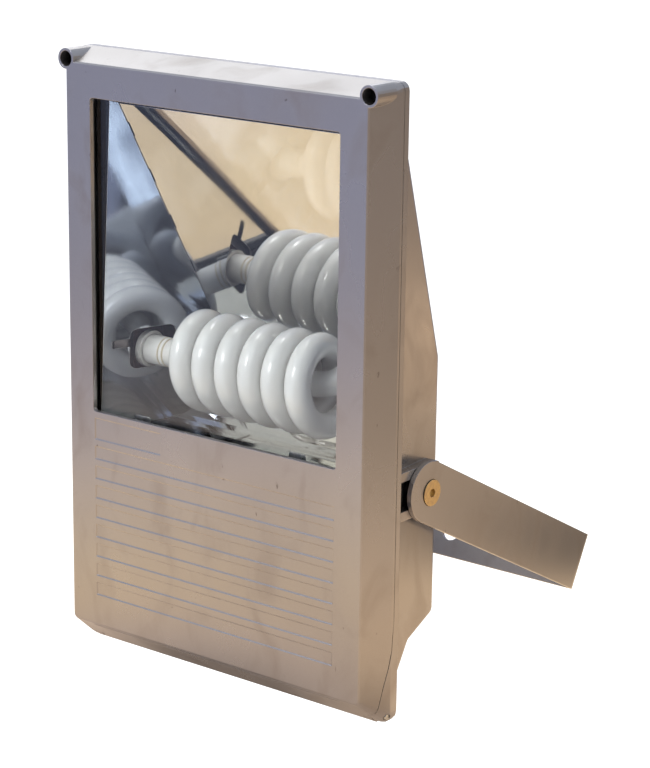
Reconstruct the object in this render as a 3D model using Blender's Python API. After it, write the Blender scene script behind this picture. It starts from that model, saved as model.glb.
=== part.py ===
"""Floodlight: a wedge-backed cast housing with a hinged glass door, a folded mirror
reflector and a spiral lamp, tilting on a flat U yoke.

Sizes are in metres. The head is drawn in its own face frame: X to the right, Y back
from the door's front face, Z up from that face's lower edge. The world's origin is
the centre of the hole in the yoke's crossbar, on its rear face.
"""
import math

import bmesh
import bpy
from mathutils import Matrix, Vector
from mathutils.geometry import interpolate_bezier

for old in list(bpy.data.objects):
    bpy.data.objects.remove(old, do_unlink=True)

# Clearances
PIECE_GAP = 0.0003
RUNNING_GAP = 0.0005
SCREW_PLAY = 0.0003
CAPTIVE_PLAY = 0.0006
PAST = 0.001  # how far a cutter passes the surface that it opens, or a root sinks in

# The main sizes, which the others follow
FACE_WIDTH = 0.226
FACE_HEIGHT = 0.350
WINDOW_LOW = 0.138
BODY_DEPTH = 0.102
YOKE_ARM = 0.195
FACE_HALF = FACE_WIDTH / 2

# Door casting
FLARE_SIDE = 0.0074
FLARE_TOP = 0.0075
FLARE_BOTTOM = 0.017
FLARE_DEPTH = 0.0206
RIM_STRIP = 0.0018
DOOR_WALL = 0.003
FACE_EDGE = 0.0007
FACE_CORNER = 0.003
RIM_CORNER_TOP = 0.005
RIM_CORNER_BOTTOM = 0.008
WINDOW_SIDE_BORDER = 0.0191
WINDOW_TOP_BORDER = 0.020
WINDOW_HALF = FACE_HALF - WINDOW_SIDE_BORDER
WINDOW_HIGH = FACE_HEIGHT - WINDOW_TOP_BORDER
WINDOW_CORNER = 0.002
LABEL_INSET = 0.001
LABEL_WIDTH = 0.0536
LABEL_HEIGHT = 0.0137
LABEL_LEFT = LABEL_INSET - WINDOW_HALF
LABEL_RIGHT = LABEL_LEFT + LABEL_WIDTH
LABEL_HIGH = WINDOW_LOW - 0.004
LABEL_LOW = LABEL_HIGH - LABEL_HEIGHT
GROOVE_HALF = WINDOW_HALF - 0.0009
GROOVE_TOP = WINDOW_LOW - 0.022
GROOVE_PITCH = 0.0126
GROOVE_HEIGHT = 0.0083
GROOVE_COUNT = 8
RECESS_DEPTH = 0.0005
RECESS_DRAFT = 0.0004
SEAL_RIB_WIDTH = 0.0024

# Door screws and their bosses
BOSS_X = FACE_HALF
BOSS_Z = FACE_HEIGHT + 0.0014
BOSS_RADIUS = 0.006
BOSS_PROUD = 0.0002
BOSS_BORE = 0.0047
BOSS_BORE_DEPTH = 0.014
DOOR_SCREW_RADIUS = 0.0025
DOOR_SCREW_HEAD = 0.00425
DOOR_SCREW_HEAD_LENGTH = 0.005
DOOR_SCREW_GRIP = 0.0068
DOOR_SCREW_CHAMFER = 0.0005
DOOR_WASHER = 0.001
HEX_KEY = 0.004
HEX_KEY_DEPTH = 0.0025

# Gasket between door and housing
GASKET_HALF = FACE_HALF - 0.007
GASKET_LOW = -0.001
GASKET_HIGH = FACE_HEIGHT - 0.0005
GASKET_WIDTH = 0.005
GASKET_THICKNESS = 0.0036
GASKET_CORNER = 0.0115

# Window glass, its gasket and clips
GLASS_THICKNESS = 0.004
GLASS_OVERLAP = 0.0045
GLASS_GASKET = 0.001
CLIP_X = WINDOW_HALF - 0.0339
CLIP_WIDTH = 0.012
CLIP_CORNER = 0.0015
CLIP_THICKNESS = 0.0008
CLIP_REACH = 0.006
CLIP_HOLE_TOP = WINDOW_HIGH + 0.011
CLIP_HOLE_BOTTOM = WINDOW_LOW - 0.022
CLIP_TAIL = 0.0045
CLIP_BOSS = 0.0034
CLIP_BOSS_FLOOR = 0.0015
SMALL_SCREW_RADIUS = 0.0015
SMALL_SCREW_HEAD = 0.0028
SMALL_SCREW_HEAD_LENGTH = 0.002
SMALL_SCREW_BITE = 0.004

# Housing casting
DOOR_TO_FLANGE = 0.0004
FLANGE_THICKNESS = 0.004
FLANGE_LOW = -0.004
BODY_HALF = FACE_HALF - 0.0155
BODY_DRAFT = 0.08
BODY_TOP = FACE_HEIGHT - 0.004
BODY_SHOULDER = BODY_DEPTH - 0.048
BODY_SHOULDER_Z = BODY_TOP - 0.006
BODY_BEND_Z = WINDOW_LOW + 0.0465
BODY_BACK_LOW = 0.024
BODY_STEP = BODY_DEPTH - 0.0275
BODY_STEP_Z = 0.0132
BODY_FLOOR = BODY_STEP - 0.0165
BODY_BOTTOM = -0.011
BODY_WALL = 0.0022
BODY_EDGE = 0.0028
BODY_FOOT_FILLET = 0.003
BODY_BACK_FILLET = 0.005
BODY_BEND_FILLET = 0.012
BODY_SHOULDER_FILLET = 0.004
OPENING_LOW = 0.004
THREAD_BOSS_RADIUS = 0.0045
THREAD_BOSS_LENGTH = 0.0035

# Hinge at the lower corners
HINGE_Y = FLARE_DEPTH - 0.0006
HINGE_Z = -0.0113
EAR_WIDTH = 0.0092
EAR_INNER = FACE_HALF + FLARE_SIDE - EAR_WIDTH
EAR_LOW = -0.0152
EAR_HIGH = 0.048
EAR_TIP = 0.0095
EAR_WAIST = 0.0083
EAR_BROW = 0.0041
EAR_BROW_HIGH = 0.0183
EAR_NECK = 0.0008
EAR_NECK_HIGH = 0.0302
EAR_SHOULDER = 0.0014
EAR_CROWN = 0.0009
EAR_SHOULDER_DROP = 0.018
EAR_CROWN_DROP = 0.010
EAR_HEEL = 0.0048
EAR_HEEL_RISE = 0.0025
HINGE_PIN_RADIUS = 0.002
KNUCKLE_RADIUS = 0.0045
KNUCKLE_LENGTH = 0.0065
EAR_WALL = 0.0008

# Pivot and yoke
PIVOT_Y = BODY_DEPTH - 0.0225
PIVOT_Z = WINDOW_LOW - 0.0305
YOKE_ANGLE = math.radians(27.5)
YOKE_THICKNESS = 0.003
YOKE_WIDTH = 0.037
YOKE_BEND = 0.004
YOKE_END_SHIFT = 0.002
YOKE_HOLE = 0.0075
LUG_OUTER = BODY_HALF + 0.0032
LUG_FRONT = PIVOT_Y - 0.0275
LUG_BACK = PIVOT_Y + 0.0125
LUG_RIB = 0.0057
LUG_POCKET_LOW = 0.007
LUG_POCKET_HIGH = 0.0113
LUG_END_WALL = 0.0045
LUG_PAD = 0.0002
PIVOT_SCREW_RADIUS = 0.004
PIVOT_HEAD_RADIUS = 0.008
PIVOT_HEAD_RIM = 0.0004
PIVOT_HEAD_PROUD = 0.0008
PIVOT_KEY = 0.005
PIVOT_KEY_DEPTH = 0.0028
NUT_FLATS = 0.013
NUT_THICKNESS = 0.0056

# Reflector
SHEET = 0.0008
MIRROR_TOP_Y = 0.0225
MIRROR_TOP_Z = WINDOW_HIGH - 0.0052
BOWL_RADIUS = 0.040
BOWL_CLEARANCE = 0.0037
BOWL_Y = BODY_DEPTH - BODY_WALL - BOWL_CLEARANCE - SHEET - BOWL_RADIUS
MIRROR_FLOOR = WINDOW_LOW - 0.0143
MIRROR_LIP_Y = 0.0105
MIRROR_LIP_LOW = MIRROR_FLOOR - 0.0035
MIRROR_LIP_BEND = 0.002
HEM_HEIGHT = 0.0095
HEM_STEP = 0.0013
CHEEK_CLEARANCE = 0.0029
CHEEK_SPLAY = 0.298
CHEEK_LEAN = 0.0157
CHEEK_FRONT_TOP_Y = MIRROR_TOP_Y - 0.0065
CHEEK_FRONT_TOP_Z = MIRROR_TOP_Z + 0.0022
CHEEK_TOP_DROP = 0.0015
CHEEK_FRONT_LOW_Y = MIRROR_LIP_Y
CHEEK_HEM = 0.003
CHEEK_HEM_DROP = 0.006  # as a share of the front edge
SHEET_EDGE = 0.0022
SLOT_COUNT = 4
SLOT_TOP = MIRROR_TOP_Z - 0.0114
SLOT_LENGTH = 0.009
SLOT_CLEARANCE = 0.0004
SLOT_INSIDE = 0.0012
SLOT_CUT_FRONT = 0.004
SLOT_CUT_BACK = 0.006
TAB_REACH = 0.0036
KEYHOLE_CORNER = 0.005
KEYHOLE_SLOT_CORNER = 0.0008
MIRROR_POST_X = BODY_HALF - 0.0275
MIRROR_POST_RADIUS = 0.004

# Lamp
LAMP_PLACE = 0.4706  # as a share of the body's depth
LAMP_Y = LAMP_PLACE * BODY_DEPTH
LAMP_Z = MIRROR_FLOOR + 0.0458
COLLAR_LEFT = 0.0235 - BODY_HALF
COLLAR_RIGHT = COLLAR_LEFT + 0.0155
LEAD_IN_X = COLLAR_RIGHT + 0.0053
COIL_START_X = COLLAR_RIGHT + 0.0165
COIL_REACH = BODY_HALF - 0.041
COIL_PITCH = 0.0179
COIL_RADIUS = 0.0232
COIL_FIRST_TURN = -0.45
COIL_LEAD_IN = 0.6
TUBE_RADIUS = 0.008
NECK_RADIUS = 0.0037
NECK_OFFSET = 0.0044
POINTS_PER_LOOP = 24
COLLAR_RADIUS = 0.0088
COLLAR_EDGE = 0.001
BASE_RADIUS = 0.0092
HOLDER_RADIUS = 0.0115
HOLDER_LENGTH = 0.0042
HOLDER_FLOOR = 0.0008
KEYHOLE_FRONT = LAMP_Y - 0.018
KEYHOLE_BACK = LAMP_Y + 0.014
KEYHOLE_LOW = LAMP_Z - 0.0102
KEYHOLE_HIGH = LAMP_Z + 0.015
KEYHOLE_SLOT_FRONT = CHEEK_FRONT_LOW_Y + 0.0075
KEYHOLE_SLOT_LOW = LAMP_Z + 0.0043
KEYHOLE_SLOT_HIGH = KEYHOLE_SLOT_LOW + 0.0051
SLOT_LOW = LAMP_Z + 0.0548
SLOT_PITCH = (SLOT_TOP - SLOT_LOW) / (SLOT_COUNT - 1)
BRACKET_SHEET = 0.0006
BRACKET_FRONT = LAMP_Y - 0.012
BRACKET_BACK = LAMP_Y + 0.0153
BRACKET_LOW = LAMP_Z - 0.0215
BRACKET_HIGH = LAMP_Z + 0.022
BRACKET_REACH = 0.0105
BRACKET_POST_X = BODY_HALF - 0.0117
BRACKET_POST_RADIUS = 0.0036
BRACKET_POST_INSET = 0.0045

# Control gear behind the lower half of the door
SHELF_THICKNESS = 0.0012
SHELF_HALF = BODY_HALF - 0.0115
SHELF_FRONT = 0.030
SHELF_BACK = BODY_DEPTH - 0.0065
SHELF_APRON = 0.0215
SHELF_SCREW_X = SHELF_HALF - 0.026
SHELF_SCREW_DROP = 0.0135
TRAY_HALF = BODY_HALF - 0.0175
TRAY_FRONT = BODY_DEPTH - 0.012
TRAY_THICKNESS = 0.0012
TRAY_LOW = 0.033
TRAY_HIGH = WINDOW_LOW - 0.040
TRAY_SCREW_X = TRAY_HALF - 0.0055
TRAY_SCREW_Z = TRAY_HIGH - 0.030
POST_RADIUS = 0.004
BALLAST_LEFT = 0.024 - TRAY_HALF
BALLAST_RIGHT = TRAY_HALF - 0.036
BALLAST_DEPTH = 0.030
BALLAST_LOW = TRAY_LOW + 0.003
BALLAST_HIGH = TRAY_HIGH - 0.006
BALLAST_EDGE = 0.0012
BALLAST_EAR = 0.009
BALLAST_EAR_SHEET = 0.001
TERMINAL_RIGHT = TRAY_HALF - 0.0105
TERMINAL_LEFT = TERMINAL_RIGHT - 0.014
TERMINAL_DEPTH = 0.016
TERMINAL_LOW = TRAY_LOW + 0.005
TERMINAL_HIGH = TERMINAL_LOW + 0.024
TERMINAL_POLES = 3
TERMINAL_WELL = 0.005
TERMINAL_SEAT = 0.003
TERMINAL_GROOVE = 0.002
EARTH_X = TRAY_HALF - 0.018
EARTH_Z = TRAY_HIGH - 0.010
LEAD_RADIUS = 0.0014
LEAD_TAIL = 0.0025

# Cable gland under the back of the housing
GLAND_THREAD = 0.008
GLAND_BORE = 0.005
GLAND_HEX = 0.022
GLAND_COLLAR = 0.005
GLAND_NECK = 0.0075
GLAND_INSIDE = 0.009
GLAND_CAP_LENGTH = 0.014
GLAND_CAP_NOSE = 0.002
GLAND_CAP_CONE = 0.005
GLAND_SEAL_BORE = 0.0035
GLAND_SEAL_WALL = 0.001
LOCKNUT_HEIGHT = 0.0035

# Places worked out from the sizes above
RIM_BACK = FLARE_DEPTH + RIM_STRIP
RIM_HALF = FACE_HALF + FLARE_SIDE
RIM_LOW = -FLARE_BOTTOM
RIM_HIGH = FACE_HEIGHT + FLARE_TOP
FLANGE_FRONT = RIM_BACK + DOOR_TO_FLANGE
FLANGE_BACK = FLANGE_FRONT + FLANGE_THICKNESS
GASKET_BACK = FLANGE_FRONT - PIECE_GAP
GASKET_FRONT = GASKET_BACK - GASKET_THICKNESS
SEAL_RIB_BACK = GASKET_FRONT - PIECE_GAP
GLASS_FRONT = DOOR_WALL + GLASS_GASKET + 2 * PIECE_GAP
GLASS_BACK = GLASS_FRONT + GLASS_THICKNESS
CLIP_FRONT = GLASS_BACK + PIECE_GAP
CLIP_BACK = CLIP_FRONT + CLIP_THICKNESS
YOKE_INNER = LUG_OUTER + PIECE_GAP
YOKE_OUTER = YOKE_INNER + YOKE_THICKNESS
BOWL_Z = MIRROR_FLOOR + BOWL_RADIUS
CHEEK_ROOM = BODY_HALF - BODY_WALL - CHEEK_CLEARANCE
CHEEK_HALF = CHEEK_ROOM + CHEEK_SPLAY * FLANGE_FRONT + CHEEK_LEAN * MIRROR_FLOOR
COIL_TURNS = math.floor((COIL_REACH - COIL_START_X) / COIL_PITCH - 0.5) + 0.5
SHELF_TOP = MIRROR_FLOOR - SHEET - PIECE_GAP
TRAY_BACK = TRAY_FRONT + TRAY_THICKNESS
SIDES = (("left", -1), ("right", 1))


# Materials

def material(name, colour, roughness, metallic=0.0, transmission=0.0):
    found = bpy.data.materials.new(name)
    found.use_nodes = True
    shader = found.node_tree.nodes["Principled BSDF"]
    shader.inputs["Base Color"].default_value = (*colour, 1.0)
    shader.inputs["Roughness"].default_value = roughness
    shader.inputs["Metallic"].default_value = metallic
    shader.inputs["Transmission Weight"].default_value = transmission
    found.diffuse_color = (*colour, 1.0)
    return found


PAINT = material("silver_grey_paint", (0.30, 0.28, 0.27), 0.42, 0.25)
MIRROR = material("mirror_aluminium", (0.85, 0.82, 0.76), 0.12, 1.0)
STEEL = material("zinc_plated_steel", (0.62, 0.62, 0.60), 0.35, 1.0)
GOLD = material("yellow_passivated_steel", (0.66, 0.50, 0.28), 0.35, 1.0)
BLACK = material("black_oxide_steel", (0.03, 0.03, 0.03), 0.45, 0.6)
GLASS = material("clear_glass", (0.96, 0.98, 0.97), 0.03, 0.0, 1.0)
RUBBER = material("black_silicone", (0.03, 0.03, 0.03), 0.7)
LAMP_WHITE = material("lamp_white", (0.86, 0.86, 0.83), 0.2)
CAP_WHITE = material("lamp_base_white", (0.82, 0.80, 0.76), 0.45)
CERAMIC = material("white_ceramic", (0.78, 0.76, 0.72), 0.35)
BALLAST_METAL = material("ballast_steel", (0.75, 0.76, 0.77), 0.4, 0.8)
TERMINAL_WHITE = material("terminal_plastic", (0.80, 0.80, 0.78), 0.5)
LEAD_BROWN = material("brown_lead", (0.20, 0.09, 0.04), 0.5)
LEAD_GREEN = material("green_lead", (0.10, 0.32, 0.08), 0.5)
GLAND_GREY = material("gland_grey", (0.18, 0.18, 0.19), 0.55)


# Shapes

def object_from(shape):
    mesh = bpy.data.meshes.new("shape")
    shape.to_mesh(mesh)
    shape.free()
    made = bpy.data.objects.new("shape", mesh)
    bpy.context.scene.collection.objects.link(made)
    return made


def loft(rings):
    """A closed solid through rings of points that all have the same count."""
    shape = bmesh.new()
    loops = [[shape.verts.new(point) for point in ring] for ring in rings]
    for lower, upper in zip(loops, loops[1:]):
        for i, vertex in enumerate(lower):
            j = (i + 1) % len(lower)
            shape.faces.new((vertex, lower[j], upper[j], upper[i]))
    shape.faces.new(loops[0][::-1])
    shape.faces.new(loops[-1])
    bmesh.ops.recalc_face_normals(shape, faces=shape.faces)
    return object_from(shape)


def point_on(axis, along, a, b):
    places = {"X": (along, a, b), "Y": (a, along, b), "Z": (a, b, along)}
    return places[axis]


def prism(outline, axis, low, high):
    """An outline of the two other coordinates, drawn out along one axis."""
    return loft([[point_on(axis, along, a, b) for a, b in outline] for along in (low, high)])


def block(x0, x1, y0, y1, z0, z1):
    return prism([(x0, y0), (x1, y0), (x1, y1), (x0, y1)], "Z", z0, z1)


def circle(radius, sides=24, centre=(0.0, 0.0)):
    steps = [2 * math.pi * i / sides for i in range(sides)]
    return [(centre[0] + radius * math.cos(t), centre[1] + radius * math.sin(t)) for t in steps]


def hexagon(flats, centre=(0.0, 0.0)):
    return circle(flats / 2 / math.cos(math.pi / 6), 6, centre)


def turned(profile, axis, centre=(0.0, 0.0), sides=24):
    """A solid of revolution: profile lists (along, radius) from one end to the other."""
    rings = []
    for along, radius in profile:
        rings.append([point_on(axis, along, a, b) for a, b in circle(radius, sides, centre)])
    return loft(rings)


def disc(axis, centre, radius, low, high, sides=24):
    return turned([(low, radius), (high, radius)], axis, centre, sides)


def arc(centre, radius, start, end, steps):
    """Points along an arc, its angles in degrees."""
    found = []
    for i in range(steps + 1):
        t = math.radians(start + (end - start) * i / steps)
        found.append((centre[0] + radius * math.cos(t), centre[1] + radius * math.sin(t)))
    return found


def rounded_rectangle(a0, a1, b0, b1, low_radius, high_radius=None, steps=4):
    """Corners with b at b0 take the low radius, and those at b1 the high one."""
    low = low_radius
    high = low_radius if high_radius is None else high_radius
    outline = arc((a1 - low, b0 + low), low, -90, 0, steps)
    outline += arc((a1 - high, b1 - high), high, 0, 90, steps)
    outline += arc((a0 + high, b1 - high), high, 90, 180, steps)
    outline += arc((a0 + low, b0 + low), low, 180, 270, steps)
    return outline


def filleted(corners, radii, steps=5):
    """The closed outline with each corner rounded by its own radius."""
    outline = []
    for i, corner in enumerate(corners):
        here = Vector(corner)
        before = (Vector(corners[i - 1]) - here).normalized()
        after = (Vector(corners[(i + 1) % len(corners)]) - here).normalized()
        radius = radii[i]
        if radius == 0:
            outline.append(tuple(here))
            continue
        half = before.angle(after) / 2
        centre = here + (before + after).normalized() * (radius / math.sin(half))
        first = here + before * (radius / math.tan(half)) - centre
        last = here + after * (radius / math.tan(half)) - centre
        turn = first.angle_signed(last)
        for k in range(steps + 1):
            spoke = Matrix.Rotation(-turn * k / steps, 2) @ first
            outline.append(tuple(centre + spoke))
    return outline


def offset_path(path, distance, closed=False):
    """The path moved to its left by the distance, with mitred corners."""
    points = [Vector(point) for point in path]
    count = len(points)
    moved = []
    for i, point in enumerate(points):
        before = points[i - 1] if closed or i > 0 else None
        after = points[(i + 1) % count] if closed or i < count - 1 else None
        sides = []
        if before is not None:
            sides.append((point - before).normalized())
        if after is not None:
            sides.append((after - point).normalized())
        normals = [Vector((-side.y, side.x)) for side in sides]
        mean = sum(normals, Vector((0.0, 0.0))).normalized()
        moved.append(tuple(point + mean * (distance / mean.dot(normals[0]))))
    return moved


def combine(target, others, operation):
    """The target united with, cut by or limited to the other shapes, which are used up."""
    for other in others:
        step = target.modifiers.new("step", "BOOLEAN")
        step.operation = operation
        step.solver = "EXACT"
        step.object = other
    graph = bpy.context.evaluated_depsgraph_get()
    mesh = bpy.data.meshes.new_from_object(target.evaluated_get(graph))
    target.modifiers.clear()
    target.data = mesh
    for other in others:
        bpy.data.objects.remove(other, do_unlink=True)
    return target


def cut(target, *others):
    return combine(target, others, "DIFFERENCE")


def join(target, *others):
    return combine(target, others, "UNION")


def limit(target, *others):
    return combine(target, others, "INTERSECT")


def bevel_edges(target, width, segments, chosen):
    """Rounds the edges whose two end points satisfy the chosen test."""
    shape = bmesh.new()
    shape.from_mesh(target.data)
    edges = [edge for edge in shape.edges if chosen(edge.verts[0].co, edge.verts[1].co)]
    bmesh.ops.bevel(
        shape, geom=edges, offset=width, segments=segments, profile=0.5, affect="EDGES"
    )
    shape.to_mesh(target.data)
    shape.free()


# Parents: the head tilts on one axis and the door swings on the other

def axis_empty(name, parent, place):
    empty = bpy.data.objects.new(name, None)
    empty.empty_display_size = FACE_WIDTH / 8
    bpy.context.scene.collection.objects.link(empty)
    empty.parent = parent
    empty.location = place
    return empty


PIVOT_WORLD = Vector((0, -YOKE_ARM * math.cos(YOKE_ANGLE), YOKE_ARM * math.sin(YOKE_ANGLE)))
PIVOT = Vector((0, PIVOT_Y, PIVOT_Z))
HINGE = Vector((0, HINGE_Y, HINGE_Z))
HEAD = axis_empty("head_axis", None, PIVOT_WORLD)
DOOR = axis_empty("door_axis", HEAD, HINGE - PIVOT)
ORIGINS = {HEAD: PIVOT, DOOR: HINGE}


def finish(made, name, look, parent=None, sharp=30):
    """Names a piece, gives it its material and hangs it on its parent's axis."""
    made.name = name
    made.data.name = name
    made.data.materials.clear()
    made.data.materials.append(look)
    if made.type == "MESH":
        made.data.shade_smooth()
        made.data.set_sharp_from_angle(angle=math.radians(sharp))
    if parent is not None:
        made.parent = parent
        made.location = -ORIGINS[parent]
    return made


# Screws shared by several places: they point along +Y from a head in front

def small_screw(x, y, z, bite=SMALL_SCREW_BITE):
    """A pan head whose underside is at y, with a shank behind it and a slot in front."""
    top = y - SMALL_SCREW_HEAD_LENGTH
    profile = [
        (top, SMALL_SCREW_HEAD * 0.7),
        (top + SMALL_SCREW_HEAD_LENGTH / 3, SMALL_SCREW_HEAD),
        (y, SMALL_SCREW_HEAD),
        (y, SMALL_SCREW_RADIUS),
        (y + bite, SMALL_SCREW_RADIUS),
    ]
    screw = turned(profile, "Y", (x, z), 16)
    slot_half = SMALL_SCREW_RADIUS / 4
    slot = block(
        x - 2 * SMALL_SCREW_HEAD, x + 2 * SMALL_SCREW_HEAD,
        top - SMALL_SCREW_HEAD, top + SMALL_SCREW_HEAD_LENGTH / 2,
        z - slot_half, z + slot_half,
    )
    return cut(screw, slot)


def screw_hole(x, low, high, z):
    return disc("Y", (x, z), SMALL_SCREW_RADIUS + SCREW_PLAY, low, high, 16)


def through_hole(x, back, z):
    """A screw's hole through a sheet whose rear face is at the given depth."""
    return screw_hole(x, back - SMALL_SCREW_BITE, back + PAST, z)


# Housing

def body_half(y):
    """Half the width outside the housing's drafted side walls."""
    return BODY_HALF - BODY_DRAFT * (y - FLANGE_BACK)


def cavity_half(y):
    return body_half(y) - BODY_WALL


BODY_CORNERS = [
    (FLANGE_BACK, BODY_BOTTOM),
    (BODY_FLOOR, BODY_BOTTOM),
    (BODY_STEP, BODY_STEP_Z),
    (BODY_DEPTH, BODY_BACK_LOW),
    (BODY_DEPTH, BODY_BEND_Z),
    (BODY_SHOULDER, BODY_SHOULDER_Z),
    (FLANGE_BACK, BODY_TOP),
]
CAVITY_CORNERS = offset_path(BODY_CORNERS, BODY_WALL, closed=True)
CAVITY_CEILING = BODY_TOP - BODY_WALL * 1.6
BACK_SLOPE = (BODY_DEPTH - BODY_SHOULDER) / (BODY_SHOULDER_Z - BODY_BEND_Z)


def back_wall(z):
    """The middle of the rear wall at a height, which posts are rooted in."""
    sloped = BODY_DEPTH - max(0.0, z - BODY_BEND_Z) * BACK_SLOPE
    return sloped - BODY_WALL / 2


def side_solid(outline, half):
    left = [(-half(y), y, z) for y, z in outline]
    right = [(half(y), y, z) for y, z in outline]
    return loft([left, right])


def flare_ring(y, inset=0.0):
    """The door's outer outline at a depth, behind which the ears carry on."""
    share = min(y / FLARE_DEPTH, 1.0)
    half = FACE_HALF + FLARE_SIDE * share - inset
    low = -FLARE_BOTTOM * share + inset
    high = FACE_HEIGHT + FLARE_TOP * share - inset
    low_radius = FACE_CORNER + (RIM_CORNER_BOTTOM - FACE_CORNER) * share - inset * 0.3
    high_radius = FACE_CORNER + (RIM_CORNER_TOP - FACE_CORNER) * share - inset * 0.3
    outline = rounded_rectangle(-half, half, low, high, low_radius, high_radius)
    return [(x, y, z) for x, z in outline]


def ear_outline(forward=0.0, spread=0.0):
    """The side view of a hinge ear. Its front follows the seam with the door."""
    seam = [
        (FLANGE_FRONT - EAR_CROWN, EAR_HIGH - EAR_CROWN_DROP),
        (FLANGE_FRONT - EAR_SHOULDER, EAR_HIGH - EAR_SHOULDER_DROP),
        (HINGE_Y - EAR_NECK, HINGE_Z + EAR_NECK_HIGH),
        (HINGE_Y - EAR_BROW, HINGE_Z + EAR_BROW_HIGH),
        (HINGE_Y - EAR_WAIST, HINGE_Z + EAR_CROWN),
        (HINGE_Y - EAR_TIP, EAR_LOW),
    ]
    front = [(y - forward, z) for y, z in seam]
    top = [(FLANGE_BACK, EAR_HIGH + spread), (FLANGE_FRONT, EAR_HIGH + spread)]
    bottom = [(HINGE_Y + EAR_HEEL, EAR_LOW), (FLANGE_BACK, EAR_LOW + EAR_HEEL_RISE)]
    return top, front, bottom


def housing():
    corner_radii = [
        0, BODY_FOOT_FILLET, BODY_FOOT_FILLET, BODY_BACK_FILLET,
        BODY_BEND_FILLET, BODY_SHOULDER_FILLET, 0,
    ]
    body = side_solid(filleted(BODY_CORNERS, corner_radii), body_half)
    bevel_edges(body, BODY_EDGE, 3, on_body_rim)
    flange_outline = rounded_rectangle(
        -RIM_HALF, RIM_HALF, FLANGE_LOW, RIM_HIGH, RIM_CORNER_TOP / 2, RIM_CORNER_TOP
    )
    flange = prism(flange_outline, "Y", FLANGE_FRONT, FLANGE_BACK)
    pieces = [flange]
    for _, side in SIDES:
        pieces += [hinge_ear(side), pivot_lug(side)]
        pieces.append(
            disc("Y", (side * BOSS_X, BOSS_Z), THREAD_BOSS_RADIUS, FLANGE_FRONT + PIECE_GAP,
                 FLANGE_BACK + THREAD_BOSS_LENGTH)
        )
    join(body, *pieces)
    cut(body, cavity())
    join(body, *housing_posts())
    cut(body, *housing_holes())
    return finish(body, "housing", PAINT, HEAD)


def on_body_rim(a, b):
    """True on the edges between the body's sides and its back, top and bottom."""
    same_side = a.x * b.x > 0
    behind_flange = max(a.y, b.y) > FLANGE_BACK + 1e-5
    return same_side and behind_flange


def cavity():
    ceiling_front = (FLANGE_BACK, CAVITY_CEILING)
    mouth = FLANGE_FRONT - PAST
    sill = [(mouth, OPENING_LOW), (FLANGE_BACK, OPENING_LOW)]
    floor_z = CAVITY_CORNERS[0][1]
    sill.append((FLANGE_BACK + (OPENING_LOW - floor_z), floor_z))
    outline = sill + CAVITY_CORNERS[1:6]
    outline += [ceiling_front, (mouth, CAVITY_CEILING)]
    return side_solid(outline, cavity_half)


def hinge_ear(side):
    top, front, bottom = ear_outline()
    ear = prism(top + front + bottom, "X", *sorted((side * EAR_INNER, side * RIM_HALF * 1.1)))
    rings = [flare_ring(0), flare_ring(FLARE_DEPTH), flare_ring(FLANGE_BACK)]
    return limit(ear, loft(rings))


def pivot_lug(side):
    """Two ribs with a pocket between them, open in front, that keeps the nut from turning."""
    low = PIVOT_Z - LUG_POCKET_LOW - LUG_RIB
    high = PIVOT_Z + LUG_POCKET_HIGH + LUG_RIB
    outline = rounded_rectangle(LUG_FRONT, LUG_BACK, low, high, LUG_RIB * 0.6)
    root = cavity_half(LUG_BACK) + BODY_WALL / 2
    lug = prism(outline, "X", *sorted((side * root, side * LUG_OUTER)))
    pocket_front = LUG_FRONT - PAST
    pocket_back = LUG_BACK - LUG_END_WALL
    outer = LUG_OUTER * 1.05
    pocket = prism(
        [
            (side * (body_half(pocket_front) + LUG_PAD), pocket_front),
            (side * outer, pocket_front),
            (side * outer, pocket_back),
            (side * (body_half(pocket_back) + LUG_PAD), pocket_back),
        ],
        "Z", PIVOT_Z - LUG_POCKET_LOW, PIVOT_Z + LUG_POCKET_HIGH,
    )
    return cut(lug, pocket)


def post(x, z, front, radius=POST_RADIUS):
    return disc("Y", (x, z), radius, front, back_wall(z), 16)


MIRROR_POST_Z = MIRROR_TOP_Z + HEM_HEIGHT * 0.9
MIRROR_POST_FRONT = MIRROR_TOP_Y + HEM_STEP + SHEET + PIECE_GAP
BRACKET_POST_Z = (BRACKET_LOW + BRACKET_POST_INSET, BRACKET_HIGH - BRACKET_POST_INSET)
SHELF_SCREW_Z = SHELF_TOP - SHELF_SCREW_DROP


def post_places():
    """Each post inside the housing: x, z, the front end and the radius."""
    places = []
    for _, side in SIDES:
        places.append((side * MIRROR_POST_X, MIRROR_POST_Z, MIRROR_POST_FRONT, MIRROR_POST_RADIUS))
        places.append((side * SHELF_SCREW_X, SHELF_SCREW_Z, SHELF_BACK + PIECE_GAP, POST_RADIUS))
        places.append((side * TRAY_SCREW_X, TRAY_SCREW_Z, TRAY_BACK + PIECE_GAP, POST_RADIUS))
    for z in BRACKET_POST_Z:
        places.append((-BRACKET_POST_X, z, BRACKET_BACK + PIECE_GAP, BRACKET_POST_RADIUS))
    return places


def housing_posts():
    return [post(x, z, front, radius) for x, z, front, radius in post_places()]


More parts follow.
